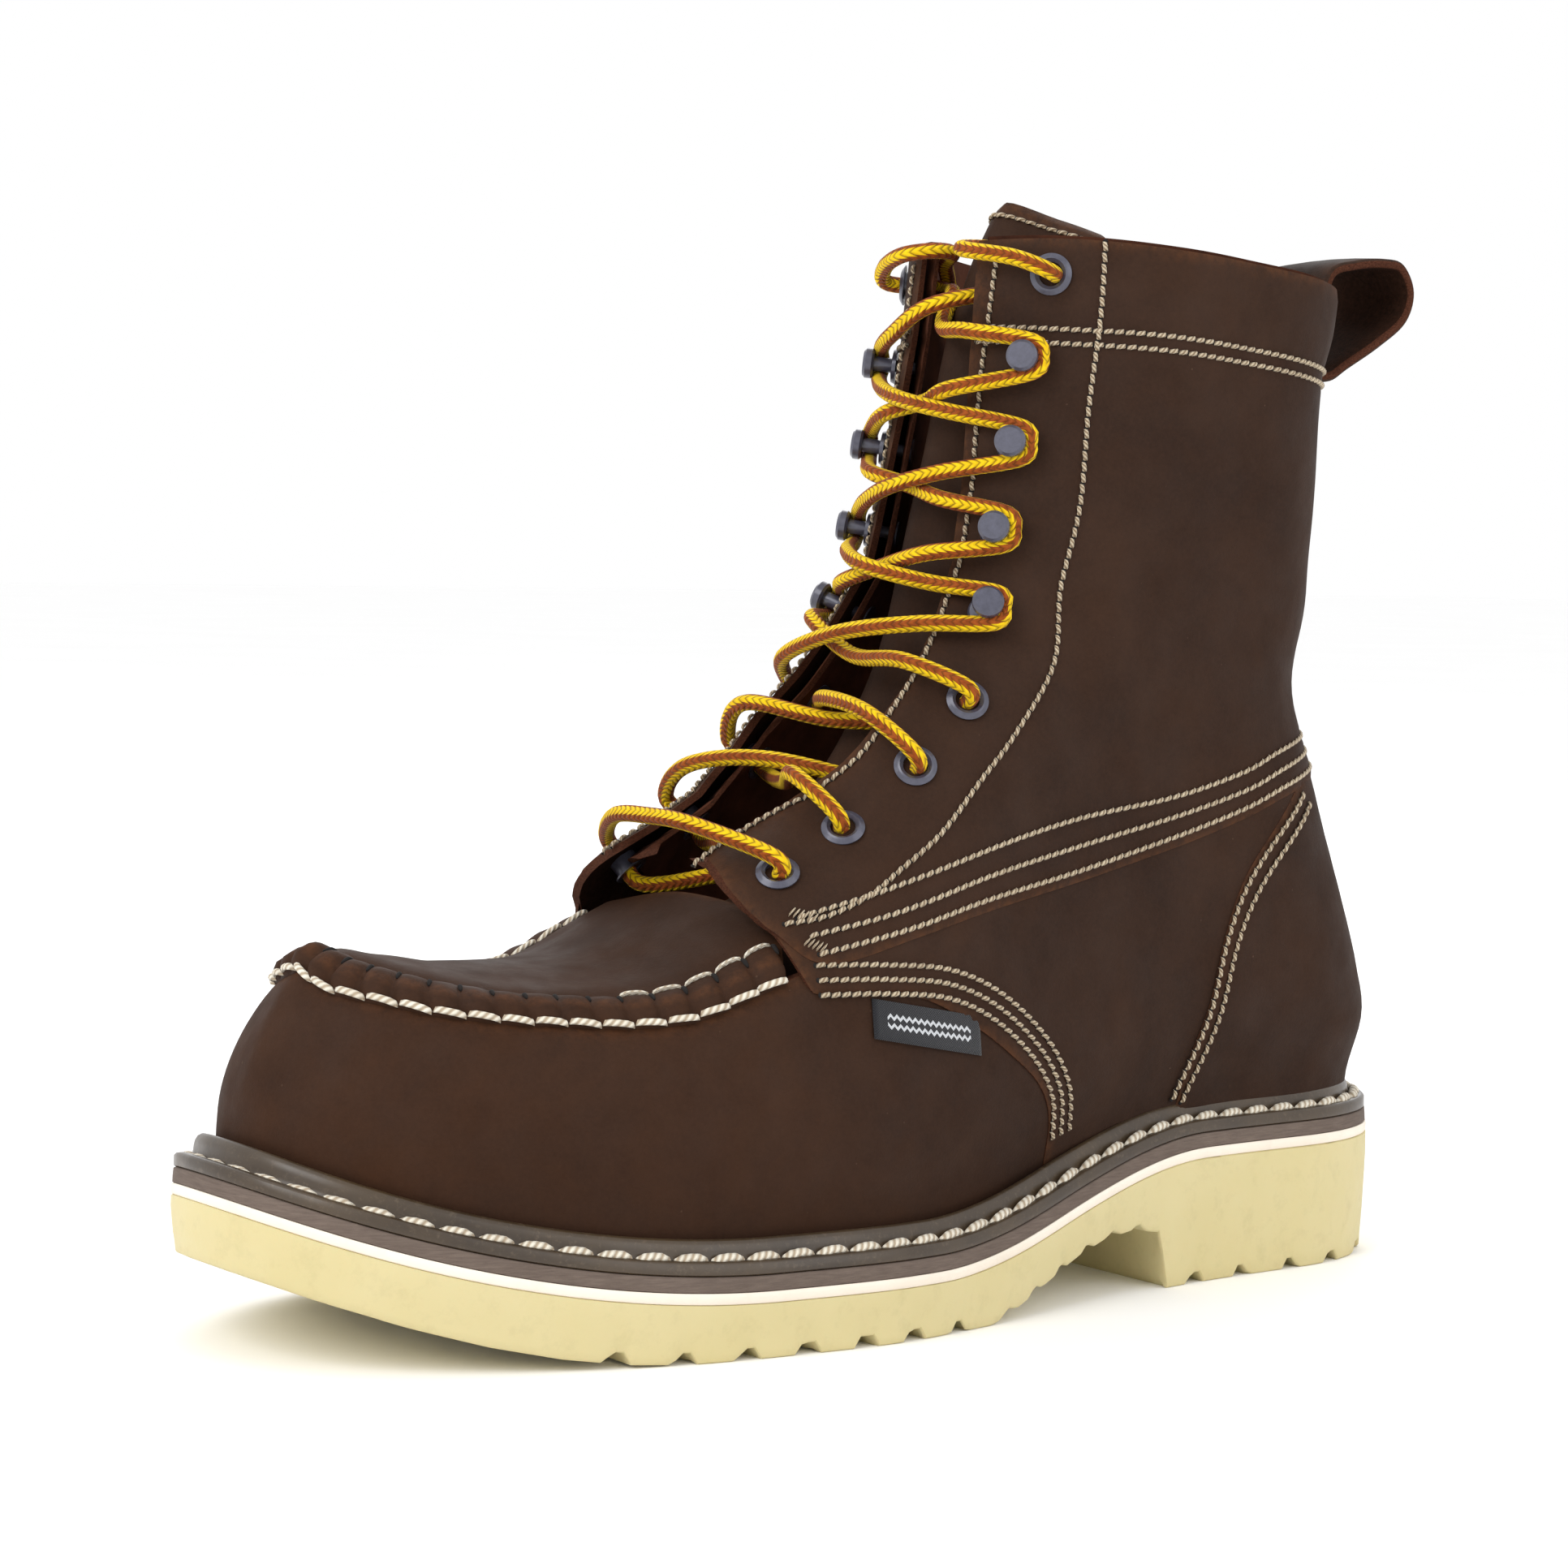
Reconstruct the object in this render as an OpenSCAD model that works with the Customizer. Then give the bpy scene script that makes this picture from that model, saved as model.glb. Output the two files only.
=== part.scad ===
// Steel toe work boot for the left foot, lace-up, with a welted wedge-free sole and heel.
// +X is the outer (lateral) side, -Y is the toe, +Z is up, the ground is z = 0.

/* [Sole] */
// Height of the heel part of the sole, up to the midsole
heel_height = 31; // [26:1:34]
// Height of the sole under the ball of the foot, up to the midsole
ball_height = 14; // [12:1:18]
// How far the toe end of the sole rises
toe_spring = 20; // [12:1:22]
// How far the sole edge stands out from the upper at the forefoot
sole_edge_front = 8.8; // [7:0.2:10]
// How far the sole edge stands out from the upper at the heel
sole_edge_heel = 6.2; // [5:0.2:8]
// Thickness of the cream layer between outsole and midsole
cream_t = 2.3; // [1.5:0.1:3]
// Thickness of the midsole
midsole_t = 3.3; // [3:0.1:4]
// Thickness of the welt where it is stitched down
welt_t = 3; // [2:0.1:3.4]
// Depth of the notches in the tread
notch_depth = 2.4; // [1.6:0.2:4]

/* [Upper] */
// Thickness of the upper leather
leather_t = 2; // [1.6:0.1:2.2]
// Thickness of the lining
lining_t = 1.2; // [0.8:0.1:1.4]
// Thickness of the steel of the toe cap
steel_t = 1.7; // [1.4:0.1:1.8]
// Width of the strip up the middle of the back
backstay_w = 15; // [12:1:20]
// Width of the pull loop's strap
pull_loop_w = 28; // [20:1:32]

/* [Lacing] */
// Diameter of the lace
lace_d = 3.7; // [3:0.1:5]
// Radius of an eyelet's flange
eyelet_r = 4.7; // [4.4:0.1:6]
// Radius of the hole in an eyelet
eyelet_hole_r = 2.7; // [2.4:0.1:3.2]
// Radius of a speed hook's head
hook_head_r = 3.5; // [3.2:0.1:4.4]
// Radius of a speed hook's base
hook_base_r = 4.2; // [4:0.1:5.2]

/* [Hidden] */

// Colours
brown = [0.27, 0.18, 0.13];
dark_brown = [0.22, 0.15, 0.11];
red_brown = [0.5, 0.27, 0.18];
olive_brown = [0.34, 0.27, 0.2];
taupe = [0.42, 0.36, 0.31];
cream = [0.93, 0.9, 0.84];
pale_yellow = [0.92, 0.88, 0.66];
gunmetal = [0.3, 0.3, 0.36];
steel = [0.62, 0.63, 0.65];

// Plan of the foot at the feather line, as [y, half width] and [y, middle]
HALF_WIDTH = [[-145, 46], [-85, 46], [-55, 46.5], [-25, 43.5], [5, 38], [35, 33.5], [70, 32],
    [110, 31.5], [146, 31]];
MIDDLE = [[-145, -4], [-110, -3], [-80, 1], [-50, 5], [-20, 9.5], [10, 9.5], [40, 6.5], [75, 3],
    [110, 1], [146, 1]];
foot_toe = -144.5;
foot_heel = 144;
toe_round = 82;
heel_round = 36;

// Half widths of the upper by height, each row as [height, [[y, half width], ...]]
WIDTHS = [
    [24, HALF_WIDTH],
    [45, [[-145, 46.5], [-85, 47], [-55, 48], [-25, 46.5], [5, 42.5], [35, 38], [70, 36],
        [110, 35.5], [146, 35]]],
    [70, [[-145, 43], [-85, 44], [-55, 45.5], [-25, 46], [5, 43], [35, 39], [70, 38],
        [110, 37.5], [146, 37]]],
    [82, [[-145, 41], [-85, 42], [-55, 44], [-25, 45.5], [5, 43], [35, 39], [70, 38],
        [110, 37.5], [146, 37]]],
    [140, [[-145, 36], [-85, 38], [-55, 42], [-25, 44], [5, 41], [35, 38], [70, 37],
        [110, 36.5], [146, 36]]],
    [235, [[-145, 40], [-55, 42], [-25, 44], [5, 44], [35, 44], [70, 44.5], [110, 44],
        [146, 43]]]];
shaft_middle = 2;

// Back of the heel, toe front, and the ridge lines, as [height, y] or [y, height]
HEEL_BACK = [[20, 144], [42, 144], [57, 146], [69, 142.5], [89, 135.5], [109, 128], [124, 122.5],
    [142, 120.5], [159, 123], [182, 124], [207, 124], [218, 126.5], [240, 128]];
TOE_FRONT = [[20, -144.5], [42, -144.5], [52, -143.8], [61, -141.5], [71, -137], [77, -133],
    [82, -127]];
VAMP_RIDGE = [[-144.5, 42], [-143.8, 52], [-141.5, 61], [-137, 71], [-133, 77], [-126, 80.5],
    [-110, 79.5], [-96, 77.5], [-68, 78], [-50, 86], [-31, 94.5], [-10, 107], [40, 125]];
FLAP_RIDGE = [[84, -84], [94, -62], [102, -47], [106, -39], [113, -27], [122, -18], [132, -11],
    [142, -1], [152, 7], [165, 16], [180, 19.5], [197, 23], [215, 26], [240, 29]];
FLAP_ROLL = [[100, 32], [120, 40], [150, 50]];
vamp_roll = 20;

// Seam lines in side view, as [y, z]
COLLAR = [[20, 234.5], [39, 235], [62, 233], [81, 231], [101, 229], [120, 227], [140, 226]];
SIDE_SEAM = [[-46, 89], [-14, 87], [8, 91], [37, 97], [65, 104], [87, 110], [108, 116],
    [150, 119]];
FLAP_CORNER = [[-46, 89], [-48, 94], [-46.5, 99]];
FLAP_FRONT = concat(FLAP_CORNER, [[-62, 100], [10, 235]]);
VAMP_EDGE = [[-46, 89], [-38, 73], [-27, 72], [-12, 71], [3, 64], [14, 57], [23, 50],
    [28, 42], [27, 10]];
HEEL_EDGE = [[108, 116], [96, 102], [87, 91], [81, 77], [78, 64], [74, 52], [69, 10]];

// Layers of the upper, as distances inward from the form
skin_out = -0.9;
skin_in = skin_out + leather_t;
stiff_out = skin_in + 0.2;
stiff_in = 2.9;
lining_out = 3.1;
lining_in = lining_out + lining_t;
cap_out = leather_t + 0.3;
cap_in = cap_out + steel_t;
vamp_lining_out = cap_in + 0.3;
vamp_lining_in = vamp_lining_out + 1;

// Fastenings, as [y, z] on the outer side
LOWER_EYELETS = [[-38, 97], [-21, 106], [-3, 119], [12, 133]];
TOP_EYELET = [37, 227];
HOOKS = [[21, 152], [26, 170], [30, 189], [33, 208]];

function clamp(v, low, high) = max(low, min(high, v));
function ease(t) = let (u = clamp(t, 0, 1)) u * u * (3 - 2 * u);
function last(list) = list[len(list) - 1];

// Smooth curve through a list of [key, value]
function slope(st, i) =
    let (a = max(i - 1, 0), b = min(i + 1, len(st) - 1))
    (st[b][1] - st[a][1]) / (st[b][0] - st[a][0]);
function curve(st, key) =
    let (
        k = clamp(key, st[0][0], last(st)[0]),
        i = clamp(len([for (p = st) if (p[0] <= k) 1]) - 1, 0, len(st) - 2),
        h = st[i + 1][0] - st[i][0],
        t = (k - st[i][0]) / h,
        t2 = t * t,
        t3 = t2 * t
    )
    (2 * t3 - 3 * t2 + 1) * st[i][1] + (t3 - 2 * t2 + t) * h * slope(st, i)
        + (3 * t2 - 2 * t3) * st[i + 1][1] + (t3 - t2) * h * slope(st, i + 1);

// Height of the top of the cream layer
function sole_z(y) =
    let (s = 154 - y)
    heel_height + (ball_height - heel_height) * ease((s - 75) / 90)
        + toe_spring * pow(clamp((s - 205) / 103, 0, 1.05), 2.1);

// Rounding factor of an end: 1 inside, 0 at the end
function rounding(t, n) = pow(max(0, 1 - pow(clamp(t, 0, 1), n)), 1 / n);

// Plan outline of the sole, grown by front and heel distances
function plan_half(y, front, heel) =
    let (grow = front + (heel - front) * ease((y - 20) / 70))
    (curve(HALF_WIDTH, y) + grow)
        * rounding((foot_toe + toe_round - y) / (toe_round + front), 2.25)
        * rounding((y - foot_heel + heel_round) / (heel_round + heel), 2.2);
function plan(front, heel, steps = 26) =
    let (
        toe = foot_toe - front,
        back = foot_heel + heel,
        ys = [for (i = [0:steps]) (toe + back) / 2 + (back - toe) / 2 * cos(180 * i / steps)]
    )
    concat([for (y = ys) [curve(MIDDLE, y) + plan_half(y, front, heel), y]],
        [for (i = [steps - 1:-1:1]) [curve(MIDDLE, ys[i]) - plan_half(ys[i], front, heel), ys[i]]]);
function sole_plan() = plan(sole_edge_front, sole_edge_heel);

// Half width and middle of the upper
function width_height(y, z) =
    let (lift = sole_z(y) - 14)
    z - lift * (1 - ease((z - sole_z(y) - 10) / 35));
function half_width(y, z) =
    let (level = width_height(y, z))
    curve([for (row = WIDTHS) [row[0], curve(row[1], y)]], level);
function middle(y, z) =
    let (u = ease((z - 30) / 90))
    curve(MIDDLE, y) * (1 - u) + shaft_middle * u;

// Distance from a side-view point to the ridge line of the flaps
function segment_distance(p, a, b) =
    let (ab = b - a, t = clamp(((p - a) * ab) / (ab * ab), 0, 1))
    norm(p - a - t * ab);
function ridge_distance(y, z) =
    let (d = min([for (i = [0:len(FLAP_RIDGE) - 2])
        segment_distance([z, y], FLAP_RIDGE[i], FLAP_RIDGE[i + 1])]))
    z > 84 && y < curve(FLAP_RIDGE, z) ? -d : d;

// Half width of the shaft form (quarters, flaps and shaft), d inward
function shaft_half(y, z, d) =
    let (
        back = rounding((y - curve(HEEL_BACK, z) + heel_round) / (heel_round - d), 2.2),
        roll = curve(FLAP_ROLL, z) - d,
        a = clamp(1 - (ridge_distance(y, z) - d) / roll, 0, 1)
    )
    max(0.4, (half_width(y, z) - d) * back * sqrt(1 - a * a));
// Half width of the vamp form (toe box and instep), d inward
function vamp_half(y, z, d) =
    let (
        front = rounding((curve(TOE_FRONT, z) + toe_round - y) / (toe_round - d), 2.25),
        top = rounding(1 - (curve(VAMP_RIDGE, y) - d - z) / (vamp_roll - d / 2), 2.2)
    )
    max(0.3, (half_width(y, z) - d) * front * top);

// Closed solid through rings of points
module loft(rings) {
    n = len(rings[0]);
    m = len(rings);
    sides = [for (k = [0:m - 2], i = [0:n - 1], half = [0, 1])
        let (a = k * n + i, b = k * n + (i + 1) % n)
        half == 0 ? [a, a + n, b] : [b, a + n, b + n]];
    polyhedron(points = [for (r = rings, p = r) p],
        faces = concat(sides, [[for (i = [0:n - 1]) i]], [[for (i = [n - 1:-1:0]) (m - 1) * n + i]]),
        convexity = 8);
}

SHAFT_LEVELS = [12, 26, 40, 54, 66, 78, 90, 100, 108, 115, 122, 129, 136, 145, 156, 170, 186, 200,
    212, 226, 240];
function shaft_ring(z, d, n = 13) =
    let (
        back = curve(HEEL_BACK, z) - d,
        front = max(-66, z > 92 ? curve(FLAP_RIDGE, z) + d : -66),
        ys = [for (i = [0:n]) (front + back) / 2 + (back - front) / 2 * cos(180 * i / n)]
    )
    concat([for (y = ys) [middle(y, z) + shaft_half(y, z, d), y, z]],
        [for (i = [n:-1:0]) [middle(ys[i], z) - shaft_half(ys[i], z, d), ys[i], z]]);
module shaft_form(d) {
    loft([for (z = reversed(SHAFT_LEVELS)) shaft_ring(z, d)]);
}

VAMP_STATIONS = [-144, -143.2, -142, -140, -137, -133, -128, -121, -112, -102, -92, -80, -68, -56,
    -44, -32, -20, -8, 6, 20, 34];
function vamp_ring(y0, d, n = 10) =
    let (
        y = y0 + d * clamp((-100 - y0) / 40, 0, 1),
        top = curve(VAMP_RIDGE, y0) - d,
        low = 8,
        zs = [for (i = [0:n]) top - (top - low) * pow(1 - i / n, 2)]
    )
    concat([for (i = [0:n]) [middle(y, zs[i]) + (i == n ? 0 : vamp_half(y, zs[i], d)), y, zs[i]]],
        [for (i = [n - 1:-1:0]) [middle(y, zs[i]) - vamp_half(y, zs[i], d), y, zs[i]]]);
module vamp_form(d) {
    loft([for (i = [len(VAMP_STATIONS) - 1:-1:0]) vamp_ring(VAMP_STATIONS[i], d)]);
}

// Keeps a smooth shell as one mesh, at its own size
module one_mesh() {
    resize([0, 0, 0]) children();
}

// Prism with a side-view outline, from x = from to x = to
module side(points, from = -90, to = 90) {
    translate([from, 0, 0])
        rotate([90, 0, 90])
            linear_extrude(to - from)
                polygon(points);
}
function reversed(list) = [for (i = [len(list) - 1:-1:0]) list[i]];
function samples(st, from, to, n) = [for (i = [0:n]) let (y = from + (to - from) * i / n)
    [y, curve(st, y)]];
PROFILE_Y = [for (i = [0:26]) -156 + 12 * i];
function sole_band(low, high) = concat([for (y = PROFILE_Y) [y, sole_z(y) + low]],
    [for (y = reversed(PROFILE_Y)) [y, sole_z(y) + high]]);

// Everything of the upper above the midsole
upper_low = midsole_t + 0.2;
module above_midsole() {
    side(concat([for (y = PROFILE_Y) [y, sole_z(y) + upper_low]], [[160, 260], [-160, 260]]));
}

// Plate that follows the sole's profile
module plate(outline, low, high) {
    intersection() {
        linear_extrude(90) polygon(outline);
        side(sole_band(low, high));
    }
}

// Tread notches at the edge of the sole, as [y, side]
NOTCH_Y = [-87, -73, -59, -45, -31, -18, -5, 8];
HEEL_NOTCH_Y = [76, 91, 107, 122];
module notch(x, y, turn) {
    translate([x, y, 0])
        rotate(turn)
            linear_extrude(40)
                polygon([[-9, -1.7], [8, -2.5], [8, 2.5], [-9, 1.7]]);
}
module notches() {
    for (y = concat(NOTCH_Y, HEEL_NOTCH_Y)) {
        edge = plan_half(y, sole_edge_front, sole_edge_heel);
        notch(curve(MIDDLE, y) + edge, y, 0);
        notch(curve(MIDDLE, y) - edge, y, 180);
    }
    for (x = [-18, 0, 18]) {
        notch(x + 1, foot_heel + sole_edge_heel - 1 - abs(x) / 5, 90);
    }
}
module outsole() {
    color(pale_yellow)
        difference() {
            intersection() {
                linear_extrude(90) polygon(sole_plan());
                side(concat(
                    [for (y = PROFILE_Y) [y, sole_z(y) - cream_t - 0.05]],
                    [[156, 0], [66, 0], [63.5, 13], [54, 14.5], [44, 13.5], [34, 10.5], [24, 6.5],
                        [14, 2.5], [6, 0], [-72, 0], [-84, 0.7], [-98, 2.6], [-112, 5.6],
                        [-126, 9.6], [-140, 14.4], [-156, 20.5]]));
            }
            intersection() {
                notches();
                side([[170, -5], [170, notch_depth], [30, notch_depth], [6, notch_depth],
                    [-72, notch_depth], [-98, 2.6 + notch_depth], [-126, 9.6 + notch_depth],
                    [-158, 21 + notch_depth], [-170, -5]]);
            }
            for (y = [-104, -86, -68, -50, -32, -14])
                translate([0, y, -1])
                    rotate(8)
                        translate([-22, -1.6, 0])
                            cube([48, 3.2, 1 + (y < -90 ? 5.6 : 2.2)]);
            for (y = [84, 102, 120])
                translate([-16, y - 1.6, -1])
                    cube([36, 3.2, 3.4]);
        }
}
module cream_layer() {
    color(cream) plate(sole_plan(), -cream_t, 0);
}
module midsole() {
    color(taupe) plate(plan(sole_edge_front - 0.2, sole_edge_heel - 0.2), 0.05, midsole_t);
}
module welt() {
    color(olive_brown)
        difference() {
            union() {
                plate(plan(sole_edge_front - 0.3, sole_edge_heel - 0.3), midsole_t + 0.05,
                    midsole_t + welt_t);
                plate(plan(3.7, 3.9), midsole_t + welt_t - 0.5, midsole_t + welt_t + 3.9);
            }
            plate(plan(1.9, 2.5), -2, 30);
        }
}
module bottom_filler() {
    color("tan")
        difference() {
            plate(plan(-7, -7), midsole_t + 0.1, midsole_t + 2.2);
            translate([-6.5, -22.5, 0]) cube([21, 125, 60]);
        }
}
module shank() {
    color(steel)
        intersection() {
            translate([-5, -21, 0]) cube([18, 122, 60]);
            side(sole_band(midsole_t + 0.4, midsole_t + 1.9));
        }
}
module insole_board() {
    color("peru") plate(plan(-7, -7), midsole_t + 2.3, midsole_t + 4.5);
}
module footbed() {
    color("dimgray") plate(plan(-7.6, -7.6), midsole_t + 4.6, midsole_t + 9);
}

// Shells between two offsets of a form
module shaft_shell(outer, inner) {
    difference() {
        shaft_form(outer);
        shaft_form(inner);
    }
}
module vamp_shell(outer, inner) {
    difference() {
        vamp_form(outer);
        vamp_form(inner);
    }
}

// The gap between the flaps, as [height, half gap]
FLAP_GAP = [[90, 18], [104, 15.5], [110, 17], [117, 21], [126, 23], [137, 21.5], [149, 19],
    [165, 15.6], [180, 14.5], [197, 12.5], [215, 11], [245, 10.5]];
module flap_opening(extra = 0) {
    rows = samples(FLAP_GAP, 90, 245, 20);
    translate([0, 60, 0])
        rotate([90, 0, 0])
            linear_extrude(140)
                polygon(concat([for (r = rows) [shaft_middle + r[1] + extra, r[0]]],
                    [for (r = reversed(rows)) [shaft_middle - r[1] - extra, r[0]]]));
}

// Side-view regions
VAMP_REGION = concat([[-160, 0], [-160, 90], [-49, 90], [-49, 80], [-40, 74]],
    [for (i = [1:len(VAMP_EDGE) - 1]) VAMP_EDGE[i] - [0.3, 0.1]], [[27, 0]]);
PLUG_PLAN = [[46.5, -44], [44.5, -58], [41.5, -70], [38.5, -82], [34.4, -95], [30, -108],
    [24.5, -118], [15.5, -127], [6, -131], [-8, -130.5], [-20, -126], [-29, -117.5], [-34, -106],
    [-37, -92], [-37.3, -76], [-36.8, -62], [-37.5, -44]];
PLUG_BACK = [[-49, 60], [-49, 78], [-44, 85], [-40, 87], [-40, 140], [-160, 140],
    [-160, 60]];
module plug_zone(gap) {
    intersection() {
        union() {
            translate([0, 0, 55])
                linear_extrude(90)
                    offset(gap)
                        polygon(PLUG_PLAN);
            side([[-46, 60], [-46, 140], [-20, 140], [-20, 60]]);
        }
        side([for (p = PLUG_BACK) p - [0, gap]]);
    }
}
SHAFT_REGION = concat([for (p = samples(SIDE_SEAM, -46, 150, 20)) p + [0, 0.1]],
    reversed(samples(COLLAR, 12, 150, 14)), reversed(FLAP_FRONT));
QUARTER_REGION = concat(VAMP_EDGE, [[69, 10]], reversed(HEEL_EDGE),
    reversed(samples(SIDE_SEAM, -46, 108, 16)));
HEEL_REGION = concat([[160, 10]], [[69.2, 10], [74.2, 52], [78.2, 64], [81.2, 77], [87.2, 91],
    [96.2, 102], [108.2, 116]], [[160, 119]]);
LINING_REGION = concat([for (p = FLAP_CORNER) p + [1.5, 0]], [[-60, 101.5], [12, 235.3]],
    [for (p = samples(COLLAR, 20, 150, 14)) p + [0, 0.8]], [[160, 10], [29, 10]],
    reversed([for (i = [1:len(VAMP_EDGE) - 2]) VAMP_EDGE[i] + [1.5, 0.5]]));

module half(sign) {
    translate([sign > 0 ? 1.5 : -98.5, -180, 0]) cube([97, 360, 260]);
}
module behind_strip() {
    translate([1.5 - backstay_w / 2 - 0.1, 100, 100]) cube([backstay_w + 0.2, 80, 160]);
}
module outer_panel(region, sign) {
    intersection() {
        shaft_shell(skin_out, skin_in);
        side(region);
        half(sign);
        above_midsole();
    }
}

module toe_cap() {
    color(steel) one_mesh()
        intersection() {
            vamp_shell(cap_out, cap_in);
            translate([-90, -160, 0]) cube([180, 68, 120]);
            side(concat([for (y = PROFILE_Y) [y, sole_z(y) + 7]], [[160, 200], [-160, 200]]));
        }
}
module toe_cap_edge() {
    color("black") one_mesh()
        intersection() {
            vamp_shell(cap_out, cap_in);
            translate([-90, -91.9, 0]) cube([180, 6, 120]);
            side(concat([for (y = PROFILE_Y) [y, sole_z(y) + 7]], [[160, 200], [-160, 200]]));
        }
}
module heel_counter() {
    color("wheat") one_mesh()
        intersection() {
            shaft_shell(stiff_out, stiff_in);
            side([[84, 0], [84, 66], [100, 84], [160, 92], [160, 0]]);
            above_midsole();
        }
}
module vamp() {
    color(brown) one_mesh()
        difference() {
            intersection() {
                vamp_shell(0, leather_t);
                side(VAMP_REGION);
                above_midsole();
            }
            plug_zone(0.1);
        }
}
module plug() {
    color(brown) one_mesh()
        intersection() {
            vamp_shell(0, leather_t);
            plug_zone(0);
        }
}
module vamp_lining() {
    color("gray") one_mesh()
        intersection() {
            vamp_shell(vamp_lining_out, vamp_lining_in);
            side(concat([[-160, 0], [-160, 140], [-45, 140], [-45, 80],
                [-46, 75]], [for (i = [1:len(VAMP_EDGE) - 1]) VAMP_EDGE[i] - [4, 3]], [[23, 0]]));
            above_midsole();
        }
}
module quarter_lateral() {
    color(brown) one_mesh() outer_panel(QUARTER_REGION, 1);
}
module quarter_medial() {
    color(brown) one_mesh() outer_panel(QUARTER_REGION, -1);
}
module shaft_panel(sign) {
    color(dark_brown) one_mesh()
        difference() {
            outer_panel(SHAFT_REGION, sign);
            flap_opening();
            behind_strip();
            lacing_holes(sign);
        }
}
module shaft_lateral() {
    shaft_panel(1);
}
module shaft_medial() {
    shaft_panel(-1);
}
module heel_cover() {
    color(brown) one_mesh()
        intersection() {
            shaft_shell(skin_out - 0.8, skin_in);
            side(HEEL_REGION);
            above_midsole();
        }
}
module backstay() {
    color(dark_brown) one_mesh()
        intersection() {
            shaft_shell(skin_out - 0.8, skin_in);
            translate([1.5 - backstay_w / 2, 100, 110]) cube([backstay_w, 80, 130]);
            side(concat([[60, 119.2], [160, 119.2]], [[160, 226], [60, 229]]));
        }
}
module lining(sign) {
    color(red_brown) one_mesh()
        difference() {
            intersection() {
                shaft_shell(lining_out, lining_in);
                side(LINING_REGION);
                half(sign);
                above_midsole();
            }
            flap_opening(1);
            lacing_holes(sign);
        }
}
module lining_lateral() {
    lining(1);
}
module lining_medial() {
    lining(-1);
}
module collar_pad(sign) {
    color("darkgray") one_mesh()
        intersection() {
            shaft_shell(stiff_out, stiff_in);
            side(concat([[50, 204], [50, 232]], samples(COLLAR, 62, 132, 6), [[160, 204]]));
            half(sign);
        }
}
module collar_pad_lateral() {
    collar_pad(1);
}
module collar_pad_medial() {
    collar_pad(-1);
}

// Pull loop: a band whose middle line is a closed drop in side view
LOOP_LINE = [[129.1, 210], [130.9, 222], [133.5, 233], [141.9, 236], [151.1, 237], [157, 236],
    [160.4, 230], [157.9, 223], [149.5, 217], [139.4, 211.5], [133.5, 208.4]];
loop_t = 2.2;
module pull_loop() {
    color(dark_brown)
        translate([1.5 - pull_loop_w / 2, 0, 0])
            rotate([90, 0, 90])
                linear_extrude(pull_loop_w)
                    difference() {
                        offset(loop_t / 2) polygon(LOOP_LINE);
                        offset(-loop_t / 2) polygon(LOOP_LINE);
                    }
}

// Tongue: arched strips along a side-view line, as [y, z]
TONGUE_LINE = [[-40, 84], [-25, 90.5], [-13, 100], [-4.5, 112], [4.5, 126], [13, 143], [18.5, 159.5],
    [22.5, 178], [26.5, 197], [32, 217], [38.5, 233], [44, 245.5]];
TONGUE_HALF = [19, 21, 23, 25, 26, 26.5, 26.5, 26, 25, 23.5, 22, 20];
tongue_sag = 12;
tongue_bulge = 5.5;
function tongue_drop(u) = let (t = min(1, abs(u) / 0.6)) tongue_sag * u * u + tongue_bulge * t * t * (2 - t * t);
function tongue_normal(i) =
    let (
        a = TONGUE_LINE[max(i - 1, 0)],
        b = TONGUE_LINE[min(i + 1, len(TONGUE_LINE) - 1)],
        t = (b - a) / norm(b - a)
    )
    [-t[1], t[0]];
function tongue_point(i, u, depth) =
    let (n = tongue_normal(i), p = TONGUE_LINE[i] - n * (depth + tongue_drop(u)))
    [shaft_middle + u * (TONGUE_HALF[i]), p[0], p[1]];
module tongue_layer(outer, inner, inset) {
    us = [for (j = [0:10]) (j - 5) / 5 * (1 - inset)];
    loft([for (i = [0:len(TONGUE_LINE) - 1])
        concat([for (u = us) tongue_point(i, u, outer)],
            [for (u = reversed(us)) tongue_point(i, u, inner)])]);
}
module tongue_leather() {
    color(brown) tongue_layer(0, 1.6, 0);
}
module tongue_foam() {
    color("darkgray") tongue_layer(2.2, 5.3, 0.06);
}
module tongue_lining() {
    color(red_brown) tongue_layer(5.6, 6.6, 0.02);
}

// Place on the flap surface at side-view point p, with the local +Z along the outward normal
function flap_point(p, sign) =
    [middle(p[0], p[1]) + sign * shaft_half(p[0], p[1], skin_out), p[0], p[1]];
function flap_normal(p, sign) =
    let (
        e = 1.5,
        dy = (flap_point(p + [e, 0], sign) - flap_point(p - [e, 0], sign))[0] / (2 * e),
        dz = (flap_point(p + [0, e], sign) - flap_point(p - [0, e], sign))[0] / (2 * e),
        n = [1, -dy, -dz] * sign
    )
    n / norm(n);
module on_flap(p, sign) {
    n = flap_normal(p, sign);
    translate(flap_point(p, sign))
        rotate([0, acos(n[2]), atan2(n[1], n[0])])
            children();
}
module each_eyelet(sign) {
    for (p = concat(LOWER_EYELETS, [TOP_EYELET])) {
        on_flap(p, sign) children();
    }
}
module each_hook(sign) {
    for (p = HOOKS) {
        on_flap(p, sign) children();
    }
}
barrel_r = eyelet_hole_r + 0.5;
barrel_l = lining_in - skin_out + 0.6;
hook_gap = lace_d + 0.5;
module lacing_holes(sign) {
    each_eyelet(sign) translate([0, 0, -14]) cylinder(r = barrel_r + 0.15, h = 18, $fn = 24);
    each_hook(sign) translate([0, 0, -14]) cylinder(r = 1.6, h = 18, $fn = 24);
}
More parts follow.
